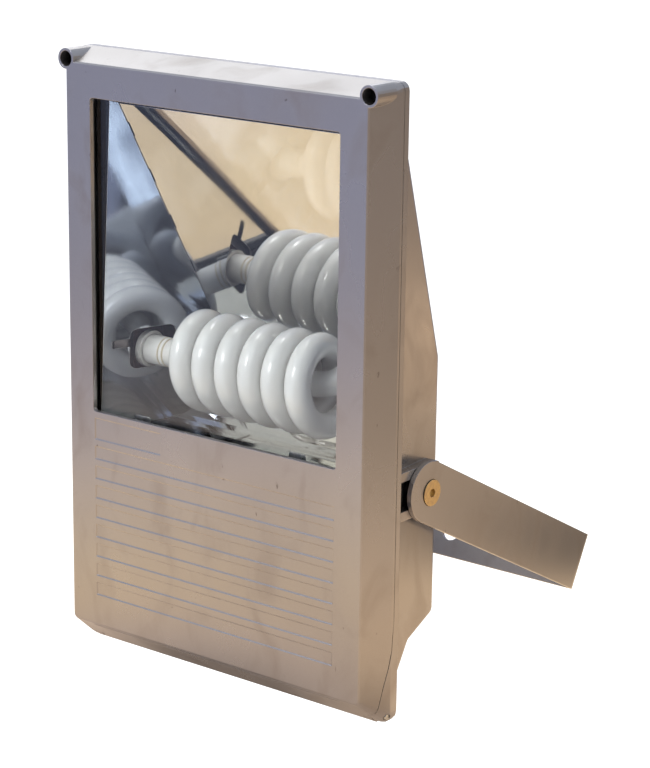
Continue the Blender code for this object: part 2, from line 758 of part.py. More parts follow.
def housing_holes():
    holes = []
    for x, z, front, _ in post_places():
        depth = min(SMALL_SCREW_BITE + PAST, back_wall(z) - BODY_WALL / 2 - front)
        holes.append(screw_hole(x, front - PAST, front + depth, z))
    for _, side in SIDES:
        holes.append(
            disc("Y", (side * BOSS_X, BOSS_Z), DOOR_SCREW_RADIUS + CAPTIVE_PLAY,
                 FLANGE_FRONT - PAST, FLANGE_BACK + THREAD_BOSS_LENGTH + PAST)
        )
        ends = sorted((side * (EAR_INNER - PAST), side * (RIM_HALF - EAR_WALL)))
        holes.append(disc("X", (HINGE_Y, HINGE_Z), HINGE_PIN_RADIUS + SCREW_PLAY, *ends))
        open_end = sorted((side * (RIM_HALF - EAR_WALL * 2), side * (RIM_HALF + PAST)))
        holes.append(disc("X", (HINGE_Y, HINGE_Z), HINGE_PIN_RADIUS * 0.7, *open_end))
    thread_hole = disc("Z", (0, 0), GLAND_THREAD + SCREW_PLAY, -GLAND_INSIDE, GLAND_INSIDE)
    holes.append(on_gland_axis(thread_hole))
    return holes


# Cable gland, drawn along Z and then set on the sloping underside

UNDERSIDE_FROM = Vector((0, BODY_STEP, BODY_STEP_Z))
UNDERSIDE_TO = Vector((0, BODY_DEPTH, BODY_BACK_LOW))
UNDERSIDE = (UNDERSIDE_TO - UNDERSIDE_FROM).normalized()
GLAND_PLACE = (UNDERSIDE_FROM + UNDERSIDE_TO) / 2
GLAND_TURN = Matrix.Rotation(math.atan2(UNDERSIDE.z, UNDERSIDE.y), 4, "X")


def on_gland_axis(made):
    made.data.transform(Matrix.Translation(GLAND_PLACE) @ GLAND_TURN)
    return made


def gland():
    """Only the inlet: the photograph shows no cable."""
    hex_top = -PIECE_GAP
    hex_low = hex_top - GLAND_COLLAR
    neck_low = hex_low - GLAND_NECK
    body = prism(hexagon(GLAND_HEX), "Z", hex_low, hex_top)
    shank = disc("Z", (0, 0), GLAND_THREAD, hex_top - PAST, GLAND_INSIDE)
    neck = disc("Z", (0, 0), GLAND_THREAD, neck_low, hex_low + PAST)
    join(body, shank, neck)
    seal_room = GLAND_BORE + GLAND_SEAL_WALL
    seal_seat = hex_low - GLAND_SEAL_WALL
    cut(
        body,
        disc("Z", (0, 0), GLAND_BORE, neck_low - PAST, GLAND_INSIDE + PAST),
        disc("Z", (0, 0), seal_room, neck_low - PAST, seal_seat),
    )
    finish(on_gland_axis(body), "gland_body", GLAND_GREY, HEAD)

    seal_top = seal_seat - PIECE_GAP
    seal_low = neck_low - PIECE_GAP * 2
    seal = disc("Z", (0, 0), seal_room - PIECE_GAP, seal_low, seal_top)
    cut(seal, disc("Z", (0, 0), GLAND_SEAL_BORE, seal_low - PAST, seal_top + PAST, 16))
    finish(on_gland_axis(seal), "gland_seal", RUBBER, HEAD)

    cap_top = hex_low - PIECE_GAP
    cap_low = cap_top - GLAND_CAP_LENGTH
    cap_radius = GLAND_HEX / 2 * 0.95
    cap = turned(
        [(cap_low, cap_radius * 0.62), (cap_low + GLAND_CAP_NOSE, cap_radius * 0.86),
         (cap_low + GLAND_CAP_CONE, cap_radius), (cap_top, cap_radius)],
        "Z",
    )
    hexagonal = prism(hexagon(cap_radius * 1.86), "Z", cap_low - PAST, cap_top + PAST)
    limit(cap, hexagonal)
    cut(
        cap,
        disc("Z", (0, 0), GLAND_THREAD + PIECE_GAP, seal_low - PIECE_GAP, cap_top + PAST),
        disc("Z", (0, 0), GLAND_BORE, cap_low - PAST, cap_top),
    )
    finish(on_gland_axis(cap), "gland_cap", GLAND_GREY, HEAD)

    locknut_low = BODY_WALL + PIECE_GAP
    locknut = prism(hexagon(GLAND_HEX), "Z", locknut_low, locknut_low + LOCKNUT_HEIGHT)
    cut(locknut, disc("Z", (0, 0), GLAND_THREAD + PIECE_GAP, 0, locknut_low + LOCKNUT_HEIGHT + PAST))
    finish(on_gland_axis(locknut), "gland_locknut", GLAND_GREY, HEAD)


# Yoke and pivots

def yoke():
    """Drawn flat: X across, Y along the arms, with the crossbar's rear face at Y 0."""
    outer = YOKE_OUTER
    inner = outer - YOKE_THICKNESS
    bend = YOKE_BEND + YOKE_THICKNESS
    tip = -(YOKE_ARM + YOKE_WIDTH)
    outline = [(-outer, tip)]
    outline += arc((-outer + bend, -bend), bend, 180, 90, 6)
    outline += arc((outer - bend, -bend), bend, 90, 0, 6)
    outline += [(outer, tip), (inner, tip)]
    outline += arc((outer - bend, -bend), YOKE_BEND, 0, 90, 6)
    outline += arc((-outer + bend, -bend), YOKE_BEND, 90, 180, 6)
    outline.append((-inner, tip))
    strap = prism(outline, "Z", -YOKE_WIDTH / 2, YOKE_WIDTH / 2)
    half = YOKE_WIDTH / 2
    side_view = [(PAST, -half), (PAST, half)]
    side_view += arc((-YOKE_ARM - YOKE_END_SHIFT, 0), half, 90, 270, 16)
    limit(strap, prism(side_view, "X", -outer - PAST, outer + PAST))
    cone_rise = PIVOT_HEAD_RADIUS - PIVOT_SCREW_RADIUS
    cone_start = YOKE_OUTER + PIVOT_HEAD_PROUD - PIVOT_HEAD_RIM - cone_rise
    holes = [disc("Y", (0, 0), YOKE_HOLE, -YOKE_THICKNESS - PAST, PAST, 32)]
    for _, side in SIDES:
        profile = []
        for x in (YOKE_INNER - PAST, YOKE_OUTER + PAST):
            profile.append((side * x, PIVOT_SCREW_RADIUS + (x - cone_start) + RUNNING_GAP))
        holes.append(turned(profile, "X", (-YOKE_ARM, 0), 32))
    cut(strap, *holes)
    finish(strap, "yoke", PAINT)
    strap.rotation_euler.x = -YOKE_ANGLE


def pivot_screws():
    for name, side in SIDES:
        top = YOKE_OUTER + PIVOT_HEAD_PROUD
        rim = top - PIVOT_HEAD_RIM
        cone_end = rim - (PIVOT_HEAD_RADIUS - PIVOT_SCREW_RADIUS)
        nut_outer = LUG_OUTER - 2 * PIECE_GAP
        nut_inner = nut_outer - NUT_THICKNESS
        profile = [
            (side * top, PIVOT_HEAD_RADIUS),
            (side * rim, PIVOT_HEAD_RADIUS),
            (side * cone_end, PIVOT_SCREW_RADIUS),
            (side * nut_inner, PIVOT_SCREW_RADIUS),
        ]
        screw = turned(profile, "X", (PIVOT_Y, PIVOT_Z), 32)
        socket_ends = sorted((side * (top + PAST), side * (top - PIVOT_KEY_DEPTH)))
        cut(screw, prism(hexagon(PIVOT_KEY, (PIVOT_Y, PIVOT_Z)), "X", *socket_ends))
        finish(screw, "pivot_screw_" + name, GOLD, HEAD)
        nut_ends = sorted((side * nut_inner, side * nut_outer))
        nut = prism(hexagon(NUT_FLATS, (PIVOT_Y, PIVOT_Z)), "X", *nut_ends)
        bore = PIVOT_SCREW_RADIUS + SCREW_PLAY
        cut(nut, disc("X", (PIVOT_Y, PIVOT_Z), bore, nut_ends[0] - PAST, nut_ends[1] + PAST))
        finish(nut, "pivot_nut_" + name, STEEL, HEAD)


# Reflector

def cheek_x(y, z, out=0.0):
    """Half the reflector's width on the inner surface of a cheek."""
    return CHEEK_HALF - CHEEK_SPLAY * y - CHEEK_LEAN * z + out


def mirror_path():
    """The reflecting surface of the main sheet from its top hem to its front lip."""
    hem_y = MIRROR_TOP_Y + HEM_STEP
    rise = Vector((MIRROR_TOP_Y - BOWL_Y, MIRROR_TOP_Z - BOWL_Z))
    slope_angle = math.degrees(math.atan2(rise.y, rise.x) - math.acos(BOWL_RADIUS / rise.length))
    path = [(hem_y, MIRROR_TOP_Z + HEM_HEIGHT * 1.4), (hem_y, MIRROR_TOP_Z + HEM_HEIGHT * 0.4)]
    path.append((MIRROR_TOP_Y, MIRROR_TOP_Z))
    path += arc((BOWL_Y, BOWL_Z), BOWL_RADIUS, slope_angle, -90, 14)
    path.append((MIRROR_LIP_Y + MIRROR_LIP_BEND, MIRROR_FLOOR))
    path.append((MIRROR_LIP_Y, MIRROR_FLOOR - MIRROR_LIP_BEND))
    path.append((MIRROR_LIP_Y, MIRROR_LIP_LOW))
    return path


def panel_y(z):
    """Depth of the sloping panel at a height, measured along its straight stretch."""
    return mirror_path()[2][0] + panel_run() * (MIRROR_TOP_Z - z)


def panel_run():
    top = mirror_path()[2]
    bend = mirror_path()[3]
    return (bend[0] - top[0]) / (top[1] - bend[1])


def splayed(outline, inner, outer, side):
    """A plate of the given side view whose faces lie along a cheek's slanting plane."""
    rings = []
    for out in (inner, outer):
        rings.append([(side * cheek_x(y, z, out), y, z) for y, z in outline])
    return loft(rings)


def slot_heights():
    return [SLOT_TOP - i * SLOT_PITCH for i in range(SLOT_COUNT)]


def seam_box(top, bottom, front, back):
    return [
        (panel_y(top) + front, top),
        (panel_y(top) + back, top),
        (panel_y(bottom) + back, bottom),
        (panel_y(bottom) + front, bottom),
    ]


def reflector_sheet():
    path = mirror_path()
    sheet = prism(path + offset_path(path, SHEET)[::-1], "X", -CHEEK_HALF * 1.1, CHEEK_HALF * 1.1)
    reach = [(0.0, 0.0), (BODY_DEPTH * 1.2, 0.0), (BODY_DEPTH * 1.2, RIM_HIGH), (0.0, RIM_HIGH)]
    between = loft([
        [(side * cheek_x(y, z, SHEET_EDGE), y, z) for y, z in reach] for side in (-1, 1)
    ])
    limit(sheet, between)
    cutters = []
    for _, side in SIDES:
        for top in slot_heights():
            hole = seam_box(top, top - SLOT_LENGTH, -SLOT_CUT_FRONT, SLOT_CUT_BACK)
            cutters.append(splayed(hole, -SLOT_INSIDE, SHEET + SLOT_CLEARANCE, side))
        cutters.append(screw_hole(side * MIRROR_POST_X, 0.0, MIRROR_POST_FRONT, MIRROR_POST_Z))
    cut(sheet, *cutters)
    finish(sheet, "reflector_sheet", MIRROR, HEAD)
    for name, side in SIDES:
        under_head = MIRROR_TOP_Y + HEM_STEP - PIECE_GAP
        screw = small_screw(side * MIRROR_POST_X, under_head, MIRROR_POST_Z)
        finish(screw, "reflector_screw_" + name, STEEL, HEAD)


def keyhole():
    """The opening that the lamp's base passes through, with a slot in front of it."""
    corners = [
        (KEYHOLE_FRONT, KEYHOLE_LOW),
        (KEYHOLE_BACK, KEYHOLE_LOW),
        (KEYHOLE_BACK, KEYHOLE_HIGH),
        (KEYHOLE_FRONT, KEYHOLE_HIGH),
        (KEYHOLE_FRONT, KEYHOLE_SLOT_HIGH),
        (KEYHOLE_SLOT_FRONT, KEYHOLE_SLOT_HIGH),
        (KEYHOLE_SLOT_FRONT, KEYHOLE_SLOT_LOW),
        (KEYHOLE_FRONT, KEYHOLE_SLOT_LOW),
    ]
    return filleted(corners, [KEYHOLE_CORNER] * 4 + [0] + [KEYHOLE_SLOT_CORNER] * 2 + [0])


def cheek_outline():
    """The side view of a cheek, with the tabs that reach through the main sheet's slots."""
    def behind(z):
        return panel_y(z) - PIECE_GAP * 1.2

    top_z = CHEEK_FRONT_TOP_Z - CHEEK_TOP_DROP
    outline = [(CHEEK_FRONT_TOP_Y, CHEEK_FRONT_TOP_Z), (behind(top_z), top_z)]
    for top in slot_heights():
        high, low = top - RUNNING_GAP, top - SLOT_LENGTH + RUNNING_GAP
        outline += [(behind(high), high), (panel_y(high) + TAB_REACH, high)]
        outline += [(panel_y(low) + TAB_REACH, low), (behind(low), low)]
    outline += offset_path(mirror_path(), -PIECE_GAP)[3:-3]
    outline.append((CHEEK_FRONT_LOW_Y, MIRROR_FLOOR + PIECE_GAP))
    return outline


def reflector_cheeks():
    outline = cheek_outline()
    front_top = Vector(outline[0])
    front_low = Vector(outline[-1])
    hem_top = front_top.lerp(front_low, CHEEK_HEM_DROP)
    hem_back = Vector((CHEEK_HEM, 0))
    hem_outline = [hem_top, hem_top + hem_back, front_low + hem_back, front_low]
    for name, side in SIDES:
        cheek = splayed(outline, 0.0, SHEET, side)
        join(cheek, splayed(hem_outline, SHEET / 2, SHEET * 2, side))
        if side < 0:
            cut(cheek, prism(keyhole(), "X", -CHEEK_HALF * 1.2, -CHEEK_HALF * 0.6))
        finish(cheek, "reflector_cheek_" + name, MIRROR, HEAD)


# Lamp

def lamp_points():
    """The centre line of the lamp tube with its radius at each point: out of the collar,
    round the coil, in at the far end and back along the middle."""
    lead_steps = round(COIL_LEAD_IN * POINTS_PER_LOOP)
    coil_steps = round((COIL_TURNS - COIL_FIRST_TURN) * POINTS_PER_LOOP)
    points = []
    for i in range(-lead_steps, coil_steps + 1):
        turn = COIL_FIRST_TURN + i / POINTS_PER_LOOP
        angle = 2 * math.pi * turn
        share = min(1.0, 1 + i / lead_steps)
        grown = share * share * (3 - 2 * share)
        radius = NECK_OFFSET + (COIL_RADIUS - NECK_OFFSET) * grown
        x = COIL_START_X + COIL_PITCH * max(turn, COIL_FIRST_TURN)
        x = LEAD_IN_X + (x - LEAD_IN_X) * grown
        point = Vector((x, LAMP_Y - radius * math.cos(angle), LAMP_Z - radius * math.sin(angle)))
        points.append((point, NECK_RADIUS + (TUBE_RADIUS - NECK_RADIUS) * grown))
    start = points[0][0]
    outward = Vector((COLLAR_RIGHT + PIECE_GAP, start.y, start.z))
    points.insert(0, (outward, NECK_RADIUS))

    last = points[-1][0]
    along = (last - points[-2][0]).normalized()
    middle = Vector((LAMP_Y, LAMP_Z))
    off = Vector((start.y, start.z)) - middle
    home = middle - off
    turn_in = Vector((last.x - COIL_PITCH * 1.1, home.x, home.y))
    reach = COIL_RADIUS * 1.25
    handles = (last + along * reach, turn_in + Vector((reach * 1.1, 0, 0)))
    curl = interpolate_bezier(last, handles[0], handles[1], turn_in, 13)
    points += [(Vector(point), TUBE_RADIUS) for point in curl[1:]]
    steps = 9
    end_x = COLLAR_RIGHT + PIECE_GAP
    neck_from = COIL_START_X + COIL_PITCH * 1.2
    for i in range(1, steps + 1):
        x = turn_in.x + (end_x - turn_in.x) * i / steps
        share = min(1.0, max(0.0, (neck_from - x) / (neck_from - COIL_START_X)))
        smooth = share * share * (3 - 2 * share)
        width = TUBE_RADIUS + (NECK_RADIUS - TUBE_RADIUS) * smooth
        points.append((Vector((x, home.x, home.y)), width))
    return points


def least_gap(points):
    """The smallest clear distance between stretches of the tube that aren't neighbours."""
    travelled = [0.0]
    for (a, _), (b, _) in zip(points, points[1:]):
        travelled.append(travelled[-1] + (b - a).length)
    least = math.inf
    for i, (a, a_radius) in enumerate(points):
        for j in range(i + 1, len(points)):
            b, b_radius = points[j]
            if travelled[j] - travelled[i] > 3.2 * (a_radius + b_radius):
                least = min(least, (a - b).length - a_radius - b_radius)
    return least


def lamp():
    points = lamp_points()
    print(f"lamp tube: least gap to itself {least_gap(points) * 1000:.2f} mm")
    curve = bpy.data.curves.new("lamp_tube", "CURVE")
    curve.dimensions = "3D"
    curve.bevel_depth = TUBE_RADIUS
    curve.bevel_resolution = 1
    curve.use_fill_caps = True
    spline = curve.splines.new("POLY")
    spline.points.add(len(points) - 1)
    for slot, (point, radius) in zip(spline.points, points):
        slot.co = (*point, 1.0)
        slot.radius = radius / TUBE_RADIUS
    spline.use_smooth = True
    tube = bpy.data.objects.new("lamp_tube", curve)
    bpy.context.scene.collection.objects.link(tube)
    finish(tube, "lamp_tube", LAMP_WHITE, HEAD)

    base_end = HOLDER_FRONT_X - HOLDER_LENGTH + HOLDER_FLOOR + PIECE_GAP
    profile = [
        (base_end, BASE_RADIUS * 0.9),
        (base_end + COLLAR_EDGE, BASE_RADIUS),
        (COLLAR_LEFT, BASE_RADIUS),
        (COLLAR_LEFT, COLLAR_RADIUS - COLLAR_EDGE),
        (COLLAR_LEFT + COLLAR_EDGE, COLLAR_RADIUS),
        (COLLAR_RIGHT - COLLAR_EDGE, COLLAR_RADIUS),
        (COLLAR_RIGHT, COLLAR_RADIUS - COLLAR_EDGE),
    ]
    finish(turned(profile, "X", (LAMP_Y, LAMP_Z), 32), "lamp_base", CAP_WHITE, HEAD)


BRACKET_OUTER_X = -(cavity_half(BRACKET_BACK) - PIECE_GAP)
BRACKET_INNER_X = BRACKET_OUTER_X + BRACKET_SHEET
HOLDER_FRONT_X = BRACKET_INNER_X + PIECE_GAP + HOLDER_LENGTH


def lampholder():
    rear = HOLDER_FRONT_X - HOLDER_LENGTH
    ring = disc("X", (LAMP_Y, LAMP_Z), HOLDER_RADIUS, rear, HOLDER_FRONT_X, 32)
    bore = disc("X", (LAMP_Y, LAMP_Z), BASE_RADIUS + PIECE_GAP, rear + HOLDER_FLOOR, 0.0, 32)
    cut(ring, bore)
    finish(ring, "lampholder", CERAMIC, HEAD)

    plate = block(
        BRACKET_OUTER_X, BRACKET_INNER_X, BRACKET_FRONT, BRACKET_BACK, BRACKET_LOW, BRACKET_HIGH
    )
    foot = block(
        BRACKET_OUTER_X, BRACKET_OUTER_X + BRACKET_REACH,
        BRACKET_BACK - BRACKET_SHEET, BRACKET_BACK, BRACKET_LOW, BRACKET_HIGH,
    )
    join(plate, foot)
    cutters = [through_hole(-BRACKET_POST_X, BRACKET_BACK, z) for z in BRACKET_POST_Z]
    cut(plate, *cutters)
    finish(plate, "lampholder_bracket", STEEL, HEAD)
    for name, z in zip(("lower", "upper"), BRACKET_POST_Z):
        screw = small_screw(-BRACKET_POST_X, BRACKET_BACK - BRACKET_SHEET - PIECE_GAP, z)
        finish(screw, "bracket_screw_" + name, STEEL, HEAD)


# Control gear

def gear_shelf():
    """The partition that the reflector's floor rests on, with an apron screwed to posts."""
    low = SHELF_TOP - SHELF_THICKNESS
    shelf = block(-SHELF_HALF, SHELF_HALF, SHELF_FRONT, SHELF_BACK, low, SHELF_TOP)
    apron = block(
        -SHELF_HALF, SHELF_HALF, SHELF_BACK - SHELF_THICKNESS, SHELF_BACK,
        SHELF_TOP - SHELF_APRON, SHELF_TOP,
    )
    join(shelf, apron)
    cut(shelf, *[through_hole(side * SHELF_SCREW_X, SHELF_BACK, SHELF_SCREW_Z) for _, side in SIDES])
    finish(shelf, "gear_shelf", STEEL, HEAD)
    for name, side in SIDES:
        under_head = SHELF_BACK - SHELF_THICKNESS - PIECE_GAP
        screw = small_screw(side * SHELF_SCREW_X, under_head, SHELF_SCREW_Z)
        finish(screw, "shelf_screw_" + name, STEEL, HEAD)


BALLAST_MIDDLE = (BALLAST_LOW + BALLAST_HIGH) / 2
GEAR_BACK = TRAY_FRONT - PIECE_GAP
BALLAST_SCREWS = (
    ("left", BALLAST_LEFT - BALLAST_EAR / 2),
    ("right", BALLAST_RIGHT + BALLAST_EAR / 2),
)
TERMINAL_X = (TERMINAL_LEFT + TERMINAL_RIGHT) / 2
TERMINAL_MIDDLE = (TERMINAL_LOW + TERMINAL_HIGH) / 2
TERMINAL_PITCH = (TERMINAL_HIGH - TERMINAL_LOW) / TERMINAL_POLES


def gear_tray():
    tray = block(-TRAY_HALF, TRAY_HALF, TRAY_FRONT, TRAY_BACK, TRAY_LOW, TRAY_HIGH)
    holes = [through_hole(side * TRAY_SCREW_X, TRAY_BACK, TRAY_SCREW_Z) for _, side in SIDES]
    holes += [through_hole(x, TRAY_BACK, BALLAST_MIDDLE) for _, x in BALLAST_SCREWS]
    holes.append(through_hole(TERMINAL_X, TRAY_BACK, TERMINAL_MIDDLE))
    holes.append(through_hole(EARTH_X, TRAY_BACK, EARTH_Z))
    cut(tray, *holes)
    finish(tray, "gear_tray", STEEL, HEAD)
    for name, side in SIDES:
        screw = small_screw(side * TRAY_SCREW_X, TRAY_FRONT - PIECE_GAP, TRAY_SCREW_Z)
        finish(screw, "tray_screw_" + name, STEEL, HEAD)


def ballast():
    front = GEAR_BACK - BALLAST_DEPTH
    case = block(BALLAST_LEFT, BALLAST_RIGHT, front, GEAR_BACK, BALLAST_LOW, BALLAST_HIGH)
    bevel_edges(case, BALLAST_EDGE, 2, lambda a, b: max(a.y, b.y) < GEAR_BACK - BALLAST_EAR_SHEET)
    ears = block(
        BALLAST_LEFT - BALLAST_EAR, BALLAST_RIGHT + BALLAST_EAR,
        GEAR_BACK - BALLAST_EAR_SHEET, GEAR_BACK,
        BALLAST_MIDDLE - BALLAST_EAR, BALLAST_MIDDLE + BALLAST_EAR,
    )
    join(case, ears)
    cut(case, *[through_hole(x, GEAR_BACK, BALLAST_MIDDLE) for _, x in BALLAST_SCREWS])
    finish(case, "ballast", BALLAST_METAL, HEAD)
    for name, x in BALLAST_SCREWS:
        screw = small_screw(x, GEAR_BACK - BALLAST_EAR_SHEET - PIECE_GAP, BALLAST_MIDDLE)
        finish(screw, "ballast_screw_" + name, STEEL, HEAD)


def terminal_block():
    front = GEAR_BACK - TERMINAL_DEPTH
    body = block(TERMINAL_LEFT, TERMINAL_RIGHT, front, GEAR_BACK, TERMINAL_LOW, TERMINAL_HIGH)
    well = TERMINAL_PITCH / 4
    cutters = []
    for i in range(TERMINAL_POLES):
        z = TERMINAL_LOW + TERMINAL_PITCH * (i + 0.5)
        cutters.append(
            disc("X", (front + TERMINAL_WELL, z), well, TERMINAL_LEFT - PAST,
                 TERMINAL_LEFT + TERMINAL_WELL, 12)
        )
        cutters.append(
            disc("Y", (TERMINAL_RIGHT - well * 2, z), well, front - PAST, front + well * 2, 12)
        )
        if i:
            groove = TERMINAL_LOW + TERMINAL_PITCH * i
            cutters.append(
                block(TERMINAL_LEFT - PAST, TERMINAL_RIGHT + PAST, front - PAST,
                      front + TERMINAL_GROOVE, groove - TERMINAL_GROOVE / 4, groove + TERMINAL_GROOVE / 4)
            )
    head_room = SMALL_SCREW_HEAD + PIECE_GAP
    seat = GEAR_BACK - TERMINAL_SEAT
    cutters.append(disc("Y", (TERMINAL_X, TERMINAL_MIDDLE), head_room, front - PAST, seat, 16))
    cutters.append(screw_hole(TERMINAL_X, seat - PAST, GEAR_BACK + PAST, TERMINAL_MIDDLE))
    cut(body, *cutters)
    finish(body, "terminal_block", TERMINAL_WHITE, HEAD)
    bite = TERMINAL_SEAT + PIECE_GAP * 2 + TRAY_THICKNESS + PAST
    screw = small_screw(TERMINAL_X, seat - PIECE_GAP, TERMINAL_MIDDLE, bite)
    finish(screw, "terminal_screw", STEEL, HEAD)
    earth = small_screw(EARTH_X, TRAY_FRONT - PIECE_GAP, EARTH_Z)
    finish(earth, "earth_screw", GOLD, HEAD)


def lead(name, look, route, samples=5):
    """A lead held inside: a tube on a smooth curve through its route's own points."""
    knots = [Vector(point) for point in route]
    points = [knots[0]]
    for i in range(len(knots) - 1):
        before = knots[max(i - 1, 0)]
        after = knots[min(i + 2, len(knots) - 1)]
        span = (knots[i + 1] - knots[i]).length / 3
        leaving = (knots[i + 1] - before).normalized() * span
        arriving = (after - knots[i]).normalized() * span
        piece = interpolate_bezier(
            knots[i], knots[i] + leaving, knots[i + 1] - arriving, knots[i + 1], samples + 1
        )
        points += [Vector(point) for point in piece[1:]]
    curve = bpy.data.curves.new(name, "CURVE")
    curve.dimensions = "3D"
    curve.bevel_depth = LEAD_RADIUS
    curve.bevel_resolution = 2
    curve.use_fill_caps = True
    spline = curve.splines.new("POLY")
    spline.points.add(len(points) - 1)
    for slot, point in zip(spline.points, points):
        slot.co = (*point, 1.0)
    spline.use_smooth = True
    made = bpy.data.objects.new(name, curve)
    bpy.context.scene.collection.objects.link(made)
    finish(made, name, look, HEAD)


def leads():
    terminal_y = GEAR_BACK - TERMINAL_DEPTH + TERMINAL_WELL
    mouth = TERMINAL_LEFT - PIECE_GAP
    ballast_y = GEAR_BACK - BALLAST_DEPTH / 2
    ballast_side = BALLAST_RIGHT + PIECE_GAP
    low_pole = TERMINAL_LOW + TERMINAL_PITCH / 2
    ballast_pole = low_pole + LEAD_TAIL
    lead("mains_lead", LEAD_BROWN, [
        (mouth, terminal_y, low_pole),
        (mouth - LEAD_TAIL, terminal_y, low_pole),
        (ballast_side + LEAD_TAIL, ballast_y, ballast_pole),
        (ballast_side, ballast_y, ballast_pole),
    ])
    top_pole = TERMINAL_HIGH - TERMINAL_PITCH / 2
    lead("earth_lead", LEAD_GREEN, [
        (mouth, terminal_y, top_pole),
        (mouth - LEAD_TAIL, terminal_y, top_pole + PAST),
        (mouth - LEAD_TAIL - PAST, terminal_y + PAST, (top_pole + EARTH_Z) / 2),
        (mouth + PAST, TRAY_FRONT - LEAD_TAIL * 2, EARTH_Z - LEAD_TAIL),
        (EARTH_X - SMALL_SCREW_HEAD - PIECE_GAP * 2, TRAY_FRONT - LEAD_RADIUS - PIECE_GAP, EARTH_Z),
    ])
    lamp_side = BALLAST_LEFT - PIECE_GAP
    lamp_pole = BALLAST_HIGH - TERMINAL_PITCH
    behind_cheek = -(cavity_half(LAMP_Y) - LEAD_TAIL * 2)
    holder_low = LAMP_Z - HOLDER_RADIUS - PIECE_GAP
    lead("lamp_lead", LEAD_BROWN, [
        (lamp_side, ballast_y, lamp_pole),
        (lamp_side - LEAD_TAIL * 4, ballast_y, lamp_pole),
        (behind_cheek + LEAD_TAIL * 3, ballast_y - LEAD_TAIL * 3, (lamp_pole + SHELF_TOP) / 2),
        (behind_cheek, (ballast_y + LAMP_Y) / 2, SHELF_TOP + LEAD_TAIL * 2),
        (behind_cheek, LAMP_Y, holder_low - LEAD_TAIL * 4),
        (BRACKET_INNER_X + PIECE_GAP + HOLDER_LENGTH / 2, LAMP_Y, holder_low),
    ], 6)


# Door

def ring_outline(half, low, high, corner, out):
    return rounded_rectangle(-half - out, half + out, low - out, high + out, corner + out, steps=6)


def ring_solid(half, low, high, corner, width, front, back):
    """A flat ring of the given width about a rounded rectangle."""
    outer = prism(ring_outline(half, low, high, corner, width / 2), "Y", front, back)
    hollow = ring_outline(half, low, high, corner, -width / 2)
    inner = prism(hollow, "Y", front - PAST, back + PAST)
    return cut(outer, inner)


def recess(x0, x1, z0, z1):
    """A shallow recess in the front face with drafted walls."""
    rings = []
    for y, inset in ((-RECESS_DEPTH, -RECESS_DRAFT), (RECESS_DEPTH, RECESS_DRAFT)):
        corners = [(x0 + inset, z0 + inset), (x1 - inset, z0 + inset),
                   (x1 - inset, z1 - inset), (x0 + inset, z1 - inset)]
        rings.append([(x, y, z) for x, z in corners])
    return loft(rings)


def clip_places():
    places = []
    for name, side in SIDES:
        x = side * CLIP_X
        places.append(("upper_" + name, x, CLIP_HOLE_TOP, WINDOW_HIGH + GLASS_OVERLAP, -1))
        places.append(("lower_" + name, x, CLIP_HOLE_BOTTOM, WINDOW_LOW - GLASS_OVERLAP, 1))
    return places


def door_frame():
    edge_share = FACE_EDGE * 0.9
    outer = loft([
        flare_ring(0, FACE_EDGE),
        flare_ring(edge_share),
        flare_ring(FLARE_DEPTH),
        flare_ring(RIM_BACK),
    ])
    inside = []
    for y in (DOOR_WALL, FLARE_DEPTH, RIM_BACK + PAST):
        inside.append(flare_ring(y, DOOR_WALL))
    cut(outer, loft(inside))
    additions = [
        ring_solid(GASKET_HALF, GASKET_LOW, GASKET_HIGH, GASKET_CORNER, SEAL_RIB_WIDTH,
                   DOOR_WALL - PAST, SEAL_RIB_BACK)
    ]
    for _, side in SIDES:
        additions.append(disc("Y", (side * BOSS_X, BOSS_Z), BOSS_RADIUS + BOSS_PROUD, 0.0, RIM_BACK))
        knuckle_inner = EAR_INNER - RUNNING_GAP - KNUCKLE_LENGTH
        ends = sorted((side * knuckle_inner, side * (EAR_INNER - RUNNING_GAP)))
        additions.append(disc("X", (HINGE_Y, HINGE_Z), KNUCKLE_RADIUS, *ends))
    for _, x, hole_z, _, _ in clip_places():
        boss_back = CLIP_FRONT - PIECE_GAP
        additions.append(disc("Y", (x, hole_z), CLIP_BOSS, DOOR_WALL - PAST, boss_back, 16))
    join(outer, *additions)
    cut(outer, *door_cutters())
    return finish(outer, "door_frame", PAINT, DOOR)


def door_cutters():
    window = rounded_rectangle(-WINDOW_HALF, WINDOW_HALF, WINDOW_LOW, WINDOW_HIGH, WINDOW_CORNER)
    cutters = [prism(window, "Y", -PAST, DOOR_WALL + PAST)]
    cutters.append(recess(LABEL_LEFT, LABEL_RIGHT, LABEL_LOW, LABEL_HIGH))
    for i in range(GROOVE_COUNT):
        top = GROOVE_TOP - i * GROOVE_PITCH
        cutters.append(recess(-GROOVE_HALF, GROOVE_HALF, top - GROOVE_HEIGHT, top))
    for _, side in SIDES:
        centre = (side * BOSS_X, BOSS_Z)
        cutters.append(disc("Y", centre, BOSS_BORE, -PAST, BOSS_BORE_DEPTH))
        cutters.append(disc("Y", centre, DOOR_SCREW_RADIUS + CAPTIVE_PLAY, 0.0, RIM_BACK + PAST))
        ends = sorted((side * (EAR_INNER - KNUCKLE_LENGTH - PAST * 2), side * EAR_INNER))
        cutters.append(disc("X", (HINGE_Y, HINGE_Z), HINGE_PIN_RADIUS + SCREW_PLAY, *ends))
        top, front, bottom = ear_outline(RUNNING_GAP, RUNNING_GAP)
        notch = top + front
        notch += [(front[-1][0], RIM_LOW - PAST), (FLANGE_BACK, RIM_LOW - PAST)]
        ends = sorted((side * (EAR_INNER - RUNNING_GAP), side * RIM_HALF * 1.1))
        cutters.append(prism(notch, "X", *ends))
    for _, x, hole_z, _, _ in clip_places():
        cutters.append(screw_hole(x, DOOR_WALL + CLIP_BOSS_FLOOR, CLIP_BACK + PAST, hole_z))
    return cutters


